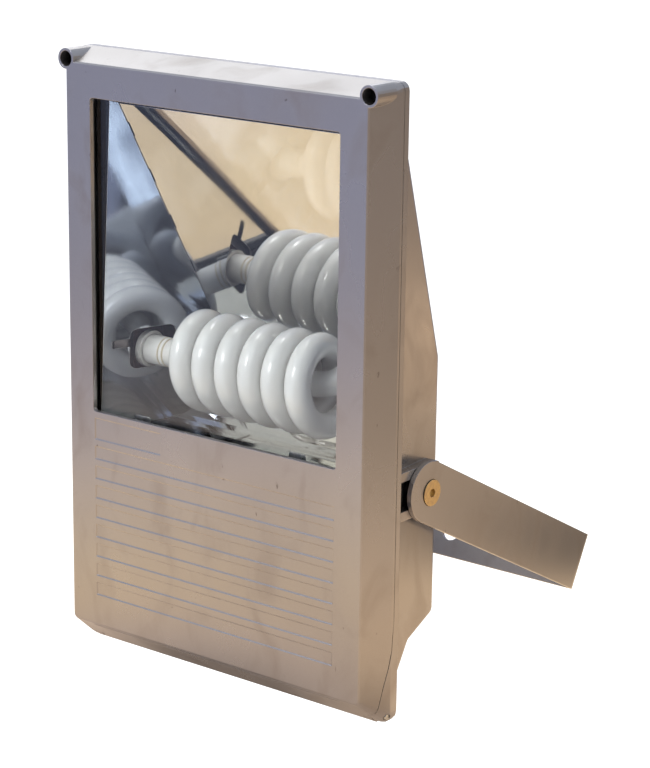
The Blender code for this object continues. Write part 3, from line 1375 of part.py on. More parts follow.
def door_glass():
    half = WINDOW_HALF + GLASS_OVERLAP
    low = WINDOW_LOW - GLASS_OVERLAP
    high = WINDOW_HIGH + GLASS_OVERLAP
    pane_outline = rounded_rectangle(-half, half, low, high, WINDOW_CORNER)
    pane = prism(pane_outline, "Y", GLASS_FRONT, GLASS_BACK)
    finish(pane, "door_glass", GLASS, DOOR)
    gasket_front = DOOR_WALL + PIECE_GAP
    gasket = prism(pane_outline, "Y", gasket_front, gasket_front + GLASS_GASKET)
    lip = PIECE_GAP
    window = rounded_rectangle(
        -WINDOW_HALF - lip, WINDOW_HALF + lip, WINDOW_LOW - lip, WINDOW_HIGH + lip, WINDOW_CORNER
    )
    cut(gasket, prism(window, "Y", 0.0, GLASS_FRONT + PAST))
    finish(gasket, "glass_gasket", RUBBER, DOOR)
    for name, x, hole_z, glass_edge, out in clip_places():
        tip = glass_edge + out * CLIP_REACH
        tail = hole_z - out * CLIP_TAIL
        left, right = x - CLIP_WIDTH / 2, x + CLIP_WIDTH / 2
        clip_outline = rounded_rectangle(left, right, *sorted((tip, tail)), CLIP_CORNER)
        clip = prism(clip_outline, "Y", CLIP_FRONT, CLIP_BACK)
        cut(clip, screw_hole(x, CLIP_FRONT - PAST, CLIP_BACK + PAST, hole_z))
        finish(clip, "glass_clip_" + name, STEEL, DOOR)
        screw = rear_screw(x, CLIP_BACK + PIECE_GAP, hole_z)
        finish(screw, "clip_screw_" + name, STEEL, DOOR)


def rear_screw(x, y, z):
    """A small screw driven from behind: its shank points to the front."""
    top = y + SMALL_SCREW_HEAD_LENGTH * 0.8
    profile = [
        (y - SMALL_SCREW_BITE, SMALL_SCREW_RADIUS),
        (y, SMALL_SCREW_RADIUS),
        (y, SMALL_SCREW_HEAD),
        (top - SMALL_SCREW_HEAD_LENGTH / 3, SMALL_SCREW_HEAD),
        (top, SMALL_SCREW_HEAD * 0.7),
    ]
    screw = turned(profile, "Y", (x, z), 16)
    slot_half = SMALL_SCREW_RADIUS / 4
    slot = block(
        x - 2 * SMALL_SCREW_HEAD, x + 2 * SMALL_SCREW_HEAD,
        top - SMALL_SCREW_HEAD_LENGTH / 2.5, top + PAST, z - slot_half, z + slot_half,
    )
    return cut(screw, slot)


def door_gasket():
    gasket = ring_solid(
        GASKET_HALF, GASKET_LOW, GASKET_HIGH, GASKET_CORNER, GASKET_WIDTH,
        GASKET_FRONT, GASKET_BACK,
    )
    finish(gasket, "door_gasket", RUBBER, HEAD)


def door_screws():
    """Captive socket screws, each on its own slide, with a sealing washer under the head."""
    washer_front = BOSS_BORE_DEPTH - PIECE_GAP - DOOR_WASHER
    head_back = washer_front - PIECE_GAP
    head_front = head_back - DOOR_SCREW_HEAD_LENGTH
    tip = FLANGE_FRONT + DOOR_SCREW_GRIP
    for name, side in SIDES:
        centre = (side * BOSS_X, BOSS_Z)
        profile = [
            (head_front, DOOR_SCREW_HEAD * 0.92),
            (head_front + DOOR_SCREW_CHAMFER, DOOR_SCREW_HEAD),
            (head_back, DOOR_SCREW_HEAD),
            (head_back, DOOR_SCREW_RADIUS),
            (tip - DOOR_SCREW_CHAMFER, DOOR_SCREW_RADIUS),
            (tip, DOOR_SCREW_RADIUS * 0.8),
        ]
        screw = turned(profile, "Y", centre, 24)
        key = prism(hexagon(HEX_KEY, centre), "Y", head_front - PAST, head_front + HEX_KEY_DEPTH)
        cut(screw, key)
        finish(screw, "door_screw_" + name, BLACK, DOOR)
        washer = disc("Y", centre, BOSS_BORE - PIECE_GAP, washer_front, BOSS_BORE_DEPTH - PIECE_GAP)
        hole = disc("Y", centre, DOOR_SCREW_RADIUS + PIECE_GAP, 0.0, RIM_BACK)
        cut(washer, hole)
        finish(washer, "door_washer_" + name, RUBBER, DOOR)


def hinge_pins():
    for name, side in SIDES:
        inner = EAR_INNER - KNUCKLE_LENGTH
        ends = sorted((side * inner, side * (RIM_HALF - EAR_WALL - PIECE_GAP)))
        pin = disc("X", (HINGE_Y, HINGE_Z), HINGE_PIN_RADIUS, *ends)
        finish(pin, "hinge_pin_" + name, STEEL, HEAD)


yoke()
pivot_screws()
housing()
hinge_pins()
gland()
door_gasket()
reflector_sheet()
reflector_cheeks()
lamp()
lampholder()
gear_shelf()
gear_tray()
ballast()
terminal_block()
leads()
door_frame()
door_glass()
door_screws()
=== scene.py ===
"""Looks of the floodlight: finishes, the lamp's spiral, soft seals and leads, light and camera.

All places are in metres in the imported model's frame. The face frame used for places on the
head is the same as the CAD's: X right, Y back from the door's front, Z up from its lower edge.
"""
import math

import bmesh
import bpy
from mathutils import Matrix, Vector
from mathutils.geometry import interpolate_bezier


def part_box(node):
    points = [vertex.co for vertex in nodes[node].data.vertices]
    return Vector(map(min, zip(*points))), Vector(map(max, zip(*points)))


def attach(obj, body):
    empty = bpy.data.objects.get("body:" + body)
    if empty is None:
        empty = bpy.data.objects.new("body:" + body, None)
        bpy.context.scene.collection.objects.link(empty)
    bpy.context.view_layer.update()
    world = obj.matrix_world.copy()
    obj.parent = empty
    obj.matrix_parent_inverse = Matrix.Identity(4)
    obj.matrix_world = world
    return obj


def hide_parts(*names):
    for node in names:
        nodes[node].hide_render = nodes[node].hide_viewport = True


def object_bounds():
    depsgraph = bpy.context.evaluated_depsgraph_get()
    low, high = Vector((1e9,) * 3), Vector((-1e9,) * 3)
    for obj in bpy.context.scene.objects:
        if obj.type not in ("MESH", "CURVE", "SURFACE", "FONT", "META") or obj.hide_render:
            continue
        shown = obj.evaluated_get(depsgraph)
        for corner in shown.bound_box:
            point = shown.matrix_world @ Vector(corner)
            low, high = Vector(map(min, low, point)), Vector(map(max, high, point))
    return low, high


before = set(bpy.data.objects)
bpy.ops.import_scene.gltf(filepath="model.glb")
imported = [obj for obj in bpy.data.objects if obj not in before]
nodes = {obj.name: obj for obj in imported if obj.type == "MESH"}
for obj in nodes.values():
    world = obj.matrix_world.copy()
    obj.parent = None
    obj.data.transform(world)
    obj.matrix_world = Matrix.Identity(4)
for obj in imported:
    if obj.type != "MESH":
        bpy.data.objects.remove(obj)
cad_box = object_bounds()

# The face frame's origin in the world, read from the door casting
RIM_LOW = -0.017
DOOR_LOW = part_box("door_frame")[0]
FACE = Vector((0.0, DOOR_LOW.y, DOOR_LOW.z - RIM_LOW))


# How finely edges are eased, and the leans between which an edge counts as eased
EASE_SAMPLES = 6
EASED_LEAN = (0.998, 0.93)


# Node trees

class Graph:
    """A node tree that is written as short calls."""

    def __init__(self, tree):
        self.tree = tree

    def node(self, kind, links=(), **settings):
        made = self.tree.nodes.new(kind)
        for key, value in settings.items():
            setattr(made, key, value)
        for socket, value in dict(links).items():
            self.feed(made.inputs[socket], value)
        return made

    def feed(self, socket, value):
        if isinstance(value, bpy.types.NodeSocket):
            self.tree.links.new(value, socket)
        else:
            socket.default_value = value

    def ramp(self, value, low, high, out_low=0.0, out_high=1.0):
        made = self.node("ShaderNodeMapRange", {
            "Value": value, "From Min": low, "From Max": high,
            "To Min": out_low, "To Max": out_high,
        })
        return made.outputs["Result"]

    def math(self, operation, a, b=0.0):
        made = self.node("ShaderNodeMath", {0: a, 1: b}, operation=operation)
        return made.outputs["Value"]

    def mix(self, share, first, second):
        made = self.node("ShaderNodeMix", data_type="RGBA")
        self.feed(made.inputs["Factor"], share)
        for socket, colour in (("A", first), ("B", second)):
            if isinstance(colour, tuple):
                colour = (*colour, 1.0)
            self.feed(made.inputs[socket], colour)
        return made.outputs["Result"]


class Finish(Graph):
    """A material whose patterns lie in the object's own coordinates, in metres."""

    def __init__(self, name, **plain):
        self.material = bpy.data.materials.new(name)
        self.material.use_nodes = True
        super().__init__(self.material.node_tree)
        self.shader = self.tree.nodes["Principled BSDF"]
        for socket, value in plain.items():
            self.shader.inputs[socket.replace("_", " ")].default_value = value

    def place(self, stretch=(1.0, 1.0, 1.0)):
        """The object's own coordinates, stretched along its axes."""
        coordinates = self.node("ShaderNodeTexCoord")
        mapping = self.node("ShaderNodeMapping", {"Vector": coordinates.outputs["Object"]})
        mapping.inputs["Scale"].default_value = stretch
        return mapping.outputs["Vector"]

    def apart(self, vector):
        """The X, Y and Z of a vector."""
        return self.node("ShaderNodeSeparateXYZ", {"Vector": vector}).outputs

    def noise(self, scale, detail=3.0, stretch=(1.0, 1.0, 1.0), distortion=0.0):
        made = self.node("ShaderNodeTexNoise", {
            "Vector": self.place(stretch), "Scale": scale, "Detail": detail,
            "Distortion": distortion,
        })
        return made.outputs["Fac"]

    def bump(self, height, strength, distance, normal=None):
        made = self.node("ShaderNodeBump", {
            "Height": height, "Strength": strength, "Distance": distance,
        })
        if normal is not None:
            self.feed(made.inputs["Normal"], normal)
        return made.outputs["Normal"]

    def rounding(self, radius):
        """The normal with edges eased by this radius, and a mask of the eased edges."""
        bevel = self.node("ShaderNodeBevel", {"Radius": radius}, samples=EASE_SAMPLES)
        eased = bevel.outputs["Normal"]
        true = self.node("ShaderNodeNewGeometry").outputs["Normal"]
        lean = self.node("ShaderNodeVectorMath", {0: eased, 1: true}, operation="DOT_PRODUCT")
        return eased, self.ramp(lean.outputs["Value"], *EASED_LEAN)

    def set(self, socket, value):
        self.feed(self.shader.inputs[socket], value)

    def surface(self, shader):
        """Sends a shader of its own to the output instead of the Principled one."""
        self.feed(self.tree.nodes["Material Output"].inputs["Surface"], shader)


# Enamel colours, with the painted sky and floor reflections on its lips and the painted shade in
# its hollows and the door's pocket
ENAMEL = (0.415, 0.390, 0.394)
ENAMEL_CLOUD = (0.385, 0.357, 0.356)
ENAMEL_FLAKE = (0.46, 0.435, 0.43)
ENAMEL_STAIN = (0.315, 0.272, 0.25)
ENAMEL_SPECK = (0.12, 0.10, 0.09)
WORN_EDGE = (0.50, 0.475, 0.46)
UPPER_LIP_SKY_REFLECTION = (0.27, 0.28, 0.33)
UNDER_LIP_FLOOR_REFLECTION = (0.92, 0.68, 0.46)
HOLLOW_PAINTED_SHADE = (0.05, 0.042, 0.04)
POCKET_PAINTED_SHADE = (0.085, 0.087, 0.075)

# Radii of the eased edges
ENAMEL_EASE = 0.0006
SHEET_EASE = 0.0003
STEEL_EASE = 0.00025

# Heights between which the painted floor reflection on downward lips fades in, above the door's
# lower chamfer
UNDER_LIP_FROM = (-0.016, -0.012)

# How near another surface the painted shade in hollows gathers, and how much open sky it fades
# between
HOLLOW_REACH = 0.03
HOLLOW_SKY = (0.42, 0.08)
HOLLOW_SAMPLES = 4

# The pocket behind the door's opening, where the casting gets painted shade, dull and dark
DOOR_POCKET = ((-0.1075, -0.2492, -0.012), (0.1075, -0.2200, 0.3250))
POCKET_FADE = 0.0005


def inside_box(made, low_corner, high_corner, fade):
    """1 inside the box and 0 outside it, with a soft step at its sides."""
    within = 1.0
    place = made.apart(made.place())
    for axis, low, high in zip("XYZ", low_corner, high_corner):
        middle, half = (low + high) / 2, (high - low) / 2
        off = made.math("ABSOLUTE", made.math("SUBTRACT", place[axis], middle))
        within = made.math("MULTIPLY", within, made.ramp(off, half, half - fade))
    return within


def paint(name, pocket=None):
    """Satin silver-grey enamel: fine flake, broad clouds, a few stains, edges rubbed brighter,
    painted reflections of the sky on upward lips and of the floor on downward lips, and painted
    shade where other surfaces stand near. Faces inside the box called pocket, given by its low
    corner and high corner, get painted shade, dull and dark."""
    made = Finish(name, IOR=1.5)
    flake = made.noise(2200.0, detail=2.0)
    cloud = made.noise(11.0)
    stain = made.noise(36.0, detail=5.0, stretch=(1.0, 1.0, 0.6), distortion=0.8)
    speck = made.noise(150.0, stretch=(1.0, 1.0, 0.5), distortion=1.2)
    eased, edge = made.rounding(ENAMEL_EASE)
    colour = made.mix(made.ramp(cloud, 0.35, 0.65), ENAMEL, ENAMEL_CLOUD)
    colour = made.mix(made.ramp(flake, 0.3, 0.7, 0.0, 0.35), colour, ENAMEL_FLAKE)
    colour = made.mix(made.ramp(stain, 0.52, 0.78, 0.0, 0.6), colour, ENAMEL_STAIN)
    colour = made.mix(made.ramp(speck, 0.72, 0.78, 0.0, 0.75), colour, ENAMEL_SPECK)
    wear = made.math("MULTIPLY", edge, made.ramp(stain, 0.42, 0.6, 0.1, 0.5))
    colour = made.mix(wear, colour, WORN_EDGE)
    # Painted reflections: upward-facing lips take a bluish sky tone, downward-facing lips a warm
    # floor tone
    upright = made.apart(made.node("ShaderNodeNewGeometry").outputs["True Normal"])["Z"]
    upper = made.math("MULTIPLY", edge, made.ramp(upright, 0.3, 0.6))
    under = made.math("MULTIPLY", edge, made.ramp(upright, -0.3, -0.6))
    height = made.apart(made.place())["Z"]
    under = made.math("MULTIPLY", under, made.ramp(height, *UNDER_LIP_FROM))
    colour = made.mix(upper, colour, UPPER_LIP_SKY_REFLECTION)
    colour = made.mix(under, colour, UNDER_LIP_FLOOR_REFLECTION)
    made.set("Metallic", made.ramp(under, 0.0, 1.0, 0.85, 0.1))
    # Painted shade: the enamel darkens where other surfaces stand near
    hollow = made.node(
        "ShaderNodeAmbientOcclusion", {"Distance": HOLLOW_REACH}, samples=HOLLOW_SAMPLES
    )
    colour = made.mix(made.ramp(hollow.outputs["AO"], *HOLLOW_SKY), colour, HOLLOW_PAINTED_SHADE)
    # Painted shade inside the door's pocket
    if pocket:
        colour = made.mix(inside_box(made, *pocket, POCKET_FADE), colour, POCKET_PAINTED_SHADE)
    made.set("Base Color", colour)
    rough = made.ramp(cloud, 0.3, 0.7, 0.25, 0.32)
    made.set("Roughness", made.math("ADD", rough, made.ramp(stain, 0.45, 0.8, 0.0, 0.09)))
    made.set("Normal", made.bump(made.noise(520.0, detail=2.0), 0.10, 0.0002, eased))
    return made.material


CUT_EDGE = (0.96, 0.96, 0.97)
SHEET_GRAIN = (1.0, 1.0, 0.08)


def mirror(name, light, dark, rough, wave_depth):
    """Bright anodised sheet with a faint rolling grain, slight waves and raw cut edges."""
    made = Finish(name, Metallic=1.0)
    smear = made.noise(30.0, detail=4.0, stretch=(1.0, 1.0, 0.6), distortion=0.6)
    eased, edge = made.rounding(SHEET_EASE)
    colour = made.mix(made.ramp(smear, 0.4, 0.7), light, dark)
    made.set("Base Color", made.mix(edge, colour, CUT_EDGE))
    sheen = made.ramp(smear, 0.4, 0.8, rough, rough + 0.06)
    made.set("Roughness", made.math("ADD", sheen, made.math("MULTIPLY", edge, 0.3)))
    wave = made.bump(made.noise(16.0, detail=1.0), 0.12, wave_depth, eased)
    grain = made.noise(900.0, detail=1.0, stretch=SHEET_GRAIN)
    made.set("Normal", made.bump(grain, 0.03, 0.0001, wave))
    return made.material


EDGE_GAIN = 1.25
EDGE_LIFT = 0.05


def steel(name, light, dark, rough=0.32):
    """Plated steel with a fine crystalline mottle and eased edges."""
    made = Finish(name, Metallic=1.0)
    mottle = made.noise(420.0, detail=4.0)
    eased, edge = made.rounding(STEEL_EASE)
    colour = made.mix(made.ramp(mottle, 0.35, 0.65), light, dark)
    bright = tuple(min(1.0, c * EDGE_GAIN + EDGE_LIFT) for c in light)
    made.set("Base Color", made.mix(made.math("MULTIPLY", edge, 0.7), colour, bright))
    made.set("Roughness", made.ramp(mottle, 0.3, 0.7, rough - 0.06, rough + 0.08))
    made.set("Normal", made.bump(made.noise(1500.0, detail=2.0), 0.12, 0.0001, eased))
    return made.material


def glossy_white(name, colour, shade, rough, coat):
    """Glazed or moulded white with a slightly uneven tone and a shiny coat."""
    made = Finish(name, Coat_Weight=coat, Coat_Roughness=0.03)
    tone = made.noise(45.0, detail=2.0)
    made.set("Base Color", made.mix(made.ramp(tone, 0.3, 0.7), colour, shade))
    blur = made.noise(120.0, detail=2.0)
    made.set("Roughness", made.ramp(blur, 0.3, 0.7, rough, rough + 0.08))
    made.set("Normal", made.bump(made.noise(70.0, detail=1.0), 0.05, 0.0005))
    return made.material


# The lamp's cap: its two seams' places along X, and a seam's half width outside and inside
CAP_SEAMS = (-0.0751, -0.0717)
SEAM_FADE = (0.0009, 0.0003)
CAP_WHITE = (0.79, 0.775, 0.74)
CAP_SHADE = (0.75, 0.735, 0.69)
CAP_SEAM_TAN = (0.62, 0.53, 0.36)


def lamp_cap_plastic():
    """White moulded cap with a pair of thin tan seams where it meets the lamp's neck."""
    made = Finish("lamp_cap_plastic", Coat_Weight=0.3, Coat_Roughness=0.12)
    tone = made.noise(70.0)
    across = made.apart(made.place())["X"]
    seams = 0.0
    for seam in CAP_SEAMS:
        away = made.math("ABSOLUTE", made.math("SUBTRACT", across, seam))
        seams = made.math("MAXIMUM", seams, made.ramp(away, *SEAM_FADE))
    colour = made.mix(made.ramp(tone, 0.3, 0.7), CAP_WHITE, CAP_SHADE)
    made.set("Base Color", made.mix(made.math("MULTIPLY", seams, 0.8), colour, CAP_SEAM_TAN))
    made.set("Roughness", made.ramp(tone, 0.3, 0.7, 0.36, 0.46))
    made.set("Normal", made.bump(made.noise(900.0, detail=2.0), 0.12, 0.0001))
    return made.material


MATTE_GRAIN = 900.0


def matte(name, colour, shade, rough):
    """Moulded plastic or rubber with a broad mottle and a fine grain."""
    made = Finish(name)
    tone = made.noise(MATTE_GRAIN / 4)
    made.set("Base Color", made.mix(made.ramp(tone, 0.35, 0.65), colour, shade))
    made.set("Roughness", made.ramp(tone, 0.3, 0.7, rough - 0.05, rough + 0.08))
    made.set("Normal", made.bump(made.noise(MATTE_GRAIN, detail=2.0), 0.3, 0.0001))
    return made.material


GLASS_TINT = (0.975, 0.985, 0.98, 1.0)
GLASS_SHADOW = (0.95, 0.96, 0.955, 1.0)


def window_glass():
    """Clear toughened glass that lets the lamps' light through, a little dusty."""
    made = Finish("window_glass", Transmission_Weight=1.0, IOR=1.5)
    made.set("Base Color", GLASS_TINT)
    made.set("Roughness", made.ramp(made.noise(70.0, detail=4.0), 0.5, 0.85, 0.0, 0.03))
    clear = made.node("ShaderNodeBsdfTransparent", {"Color": GLASS_SHADOW})
    path = made.node("ShaderNodeLightPath")
    both = made.node("ShaderNodeMixShader", {
        "Fac": path.outputs["Is Shadow Ray"], 1: made.shader.outputs["BSDF"],
        2: clear.outputs["BSDF"],
    })
    made.surface(both.outputs["Shader"])
    return made.material


PAINT = paint("silver_paint")
# The door's enamel, with painted shade in its pocket
DOOR_PAINT_POCKET_SHADE = paint("door_paint_pocket_shade", DOOR_POCKET)
MIRROR = mirror("bright_sheet", (0.90, 0.89, 0.87), (0.86, 0.85, 0.83), 0.025, 0.002)
# Same sheet as the bright one, made darker and bluer: painted shade and a painted reflection of the
# bluish sky
CHEEK_MIRROR_SHADED_BLUE = mirror("satin_sheet_shaded_blue", (0.64, 0.67, 0.73), (0.58, 0.61, 0.67), 0.045, 0.003)
ZINC = steel("zinc_plate", (0.66, 0.66, 0.65), (0.50, 0.51, 0.53))
GOLD = steel("yellow_passivate", (0.74, 0.56, 0.30), (0.62, 0.47, 0.30))
# Painted shade: the lampholder bracket, seen through the keyhole, is coloured dark maroon for the
# shade there
KEYHOLE_SHADE_PLATE = steel("keyhole_shade_plate", (0.085, 0.052, 0.047), (0.055, 0.034, 0.031), 0.45)
BLACK_STEEL = steel("black_oxide", (0.035, 0.035, 0.036), (0.02, 0.02, 0.02), 0.42)
BALLAST = steel("ballast_case_metal", (0.72, 0.73, 0.74), (0.64, 0.65, 0.67), 0.36)
LAMP_GLASS = glossy_white(
    "lamp_phosphor_glass", (0.70, 0.695, 0.67), (0.66, 0.655, 0.63), 0.3, 1.0
)
LAMP_PLASTIC = lamp_cap_plastic()
CERAMIC = glossy_white("holder_ceramic", (0.76, 0.74, 0.69), (0.70, 0.68, 0.63), 0.3, 0.6)
TERMINAL = matte("terminal_moulding", (0.78, 0.78, 0.75), (0.72, 0.72, 0.70), 0.5)
SILICONE = matte("silicone_seal", (0.025, 0.025, 0.026), (0.04, 0.04, 0.042), 0.62)
BROWN_LEAD = matte("brown_insulation", (0.21, 0.09, 0.045), (0.17, 0.07, 0.035), 0.45)
GREEN_LEAD = matte("green_insulation", (0.10, 0.34, 0.08), (0.08, 0.28, 0.07), 0.45)
GLAND = matte("gland_nylon", (0.17, 0.17, 0.18), (0.14, 0.14, 0.15), 0.5)
GLASS = window_glass()

# Each finish with the starts of the node names that wear it. The rest are zinc plated.
FINISHES = {
    PAINT: ("yoke", "housing"),
    DOOR_PAINT_POCKET_SHADE: ("door_frame",),
    MIRROR: ("reflector_sheet",),
    CHEEK_MIRROR_SHADED_BLUE: ("reflector_cheek",),
    GOLD: ("pivot_screw", "earth_screw"),
    BLACK_STEEL: ("door_screw",),
    BALLAST: ("ballast",),
    GLASS: ("door_glass",),
    SILICONE: ("door_gasket", "glass_gasket", "door_washer", "gland_seal"),
    LAMP_GLASS: ("lamp_tube",),
    LAMP_PLASTIC: ("lamp_base",),
    CERAMIC: ("lampholder",),
    TERMINAL: ("terminal_block",),
    BROWN_LEAD: ("mains_lead", "lamp_lead"),
    GREEN_LEAD: ("earth_lead",),
    GLAND: ("gland_body", "gland_cap", "gland_locknut"),
}
# Nodes whose start would give them another node's finish
EXACT = {
    "lampholder_bracket": KEYHOLE_SHADE_PLATE, "ballast_screw_left": ZINC, "ballast_screw_right": ZINC,
}


def finish_for(name):
    if name in EXACT:
        return EXACT[name]
    for found, starts in FINISHES.items():
        if name.startswith(starts):
            return found
    return ZINC


for name, made in nodes.items():
    made.data.materials.clear()
    made.data.materials.append(finish_for(name))


# Camera: the photograph's viewing angle

CAMERA_PLACE = Vector((0.8978, -1.2861, 0.5233))
CAMERA_RIGHT = Vector((0.78409, 0.62052, 0.01265))
CAMERA_UP = Vector((-0.17093, 0.19631, 0.96553))
LENS = 113.73

camera_data = bpy.data.cameras.new("camera")
camera_data.lens = LENS
camera = bpy.data.objects.new("camera", camera_data)
camera_axes = Matrix((CAMERA_RIGHT, CAMERA_UP, CAMERA_RIGHT.cross(CAMERA_UP))).transposed()
camera.matrix_world = Matrix.Translation(CAMERA_PLACE) @ camera_axes.to_4x4()
bpy.context.scene.collection.objects.link(camera)
bpy.context.scene.camera = camera


# Floor, light, and the room's tones that only reflections see

def stage_mesh(name, points, faces, look):
    """A piece of the studio, which isn't part of the floodlight."""
    mesh = bpy.data.meshes.new(name)
    mesh.from_pydata([tuple(p) for p in points], [], faces)
    mesh.materials.append(look)
    made = bpy.data.objects.new(name, mesh)
    bpy.context.scene.collection.objects.link(made)
    return made


def aimed(made, way):
    """Turns a light to shine this way."""
    made.rotation_mode = "QUATERNION"
    made.rotation_quaternion = Vector(way).to_track_quat("-Z", "Y")


def softbox(name, place, target, size, power, colour):
    data = bpy.data.lights.new(name, "AREA")
    data.shape = "RECTANGLE"
    data.size, data.size_y = size
    data.energy = power
    data.color = colour
    made = bpy.data.objects.new(name, data)
    made.location = place
    aimed(made, Vector(target) - Vector(place))
    bpy.context.scene.collection.objects.link(made)


def seen_directly(graph):
    """1 for rays of the camera, of gloss and of glass, and 0 for the rest."""
    path = graph.node("ShaderNodeLightPath")
    found = path.outputs["Is Camera Ray"]
    for other in ("Is Glossy Ray", "Is Transmission Ray"):
        found = graph.math("MAXIMUM", found, path.outputs[other])
    return found


# The floodlight hangs on its crossbar, so the floor lies below the lowest sweep of its door
LOW_Z = cad_box[0].z
FLOOR_DROP = 0.38
FLOOR_Z = LOW_Z - FLOOR_DROP
FLOOR_SPAN = 14.0
FLOOR_TONE = (0.94, 0.94, 0.94, 1.0)
FLOOR_LIFT = 0.32
floor_look = Finish("pale_floor", Roughness=0.9)
floor_look.set("Base Color", FLOOR_TONE)
floor_look.set("Specular IOR Level", 0.1)
floor_look.set("Emission Color", (1.0, 1.0, 1.0, 1.0))
floor_lift = floor_look.math("MULTIPLY", seen_directly(floor_look), FLOOR_LIFT)
floor_look.set("Emission Strength", floor_lift)
stage_mesh("floor", [
    (-FLOOR_SPAN, -FLOOR_SPAN, FLOOR_Z), (FLOOR_SPAN, -FLOOR_SPAN, FLOOR_Z),
    (FLOOR_SPAN, FLOOR_SPAN, FLOOR_Z), (-FLOOR_SPAN, FLOOR_SPAN, FLOOR_Z),
], [(0, 1, 2, 3)], floor_look.material)

# Glossy depths past which a ray has been mirrored once, twice and three times
MIRRORED_ONCE = 0.5
MIRRORED_TWICE = 1.5
MIRRORED_THRICE = 2.5

# The world: white to the camera, cooler in one reflection and dimmer in repeated ones
AMBIENT = 0.7
WHITE = (1.0, 1.0, 1.0)
REFLECTED_SKY = (0.58, 0.66, 0.78)
REPEATED_SKY = (0.75, 0.75, 0.68)
world = bpy.data.worlds.new("studio")
bpy.context.scene.world = world
world.use_nodes = True
sky = Graph(world.node_tree)
backdrop = sky.tree.nodes["Background"]
sky.feed(backdrop.inputs["Strength"], sky.ramp(seen_directly(sky), 0.0, 1.0, AMBIENT, 1.0))
sky_path = sky.node("ShaderNodeLightPath")
once = sky.mix(sky_path.outputs["Is Glossy Ray"], WHITE, REFLECTED_SKY)
repeated = sky.math("GREATER_THAN", sky_path.outputs["Glossy Depth"], MIRRORED_TWICE)
sky.feed(backdrop.inputs["Color"], sky.mix(repeated, once, REPEATED_SKY))

# Each softbox's name, place, size, power and colour
SOFTBOXES = (
    ("window_light", (-1.20, 0.83, 1.29), (1.3, 1.3), 8.0, (1.0, 1.0, 0.94)),
    ("key_light", (-0.53, -1.86, 1.31), (0.5, 0.6), 12.0, (0.97, 0.98, 1.0)),
)
BODY_MIDDLE = (0.0, -0.18, 0.15)
for name, place, size, power, colour in SOFTBOXES:
    softbox(name, place, BODY_MIDDLE, size, power, colour)

SUN_STRENGTH = 1.3
SUN_WIDTH = math.radians(50)
SUN_WAY = (0.35, 0.75, -0.56)
sun_data = bpy.data.lights.new("front_light", "SUN")
sun_data.energy = SUN_STRENGTH
sun_data.angle = SUN_WIDTH
sun = bpy.data.objects.new("front_light", sun_data)
sun.visible_glossy = False
sun.visible_transmission = False
aimed(sun, SUN_WAY)
bpy.context.scene.collection.objects.link(sun)


# A wide shallow dish round the floodlight that only shows in reflections
DISH_Y = -0.2
DISH_RADIUS = 2.4
DISH_HEIGHT = 1.1
DISH_SIDES = 48

# The dish's tones by distance from its middle, for its left and right halves; the dark tones at the
# middle are a painted shadow under the floodlight
LEFT_TONES = (
    (0.0, (0.20, 0.14, 0.10)), (0.06, (0.28, 0.21, 0.16)), (0.12, (0.90, 0.69, 0.52)),
    (0.2, (1.20, 0.90, 0.54)), (0.33, (1.18, 0.92, 0.58)), (0.5, (1.03, 0.85, 0.71)),
    (0.7, (0.71, 0.64, 0.68)), (0.9, (0.42, 0.43, 0.54)), (1.2, (0.43, 0.46, 0.62)),
    (2.4, (0.34, 0.39, 0.61)),
)
RIGHT_TONES = (
    (0.0, (0.20, 0.14, 0.10)), (0.16, (0.60, 0.43, 0.27)), (0.24, (1.35, 0.97, 0.58)),
    (0.38, (1.15, 0.84, 0.54)), (0.5, (0.90, 0.66, 0.42)), (0.64, (0.55, 0.41, 0.27)),
    (0.9, (0.66, 0.48, 0.31)), (1.1, (0.50, 0.37, 0.25)), (1.6, (0.42, 0.32, 0.24)),
    (2.4, (0.38, 0.30, 0.23)),
)
LEFT_TO_RIGHT = (0.03, 0.2)

# Sunlit floor under the body: how far out and how far forward it fades
BENEATH_REACH = (0.22, 0.18)
BENEATH_FRONT = (-0.226, -0.212)
BENEATH_TONE = (1.25, 0.92, 0.58)

# Soft round patches, a painted shadow beside the housing and a painted pool of light on the floor
# behind: middle, outer and inner radius, and tone
SHADOW_AND_LIGHT_SPOTS = (
    (Vector((0.20, 0.13, LOW_Z)), 0.13, 0.05, (0.20, 0.145, 0.09)),
    (Vector((0.50, 0.62, LOW_Z)), 0.32, 0.12, (1.6, 1.12, 0.66)),
)

# What reflections of reflections see: a dim room and a window's wavy stripe
ROOM_TONE = (0.55, 0.62, 0.78)
PANE_TONE = (2.3, 2.6, 2.9)
PANE_ACROSS = (0.64, -0.77)
PANE_PLACE = 0.124
PANE_WAVE = 0.03
PANE_FADE = (0.035, 0.004)


def tones_by_distance(look, away, stops):
    made = look.node("ShaderNodeValToRGB", {"Fac": look.math("DIVIDE", away, DISH_RADIUS)})
    elements = made.color_ramp.elements
    while len(elements) < len(stops):
        elements.new(1.0)
    for element, (distance, tone) in zip(elements, stops):
        element.position = distance / DISH_RADIUS
        element.color = (*tone, 1.0)
    return made.outputs["Color"]


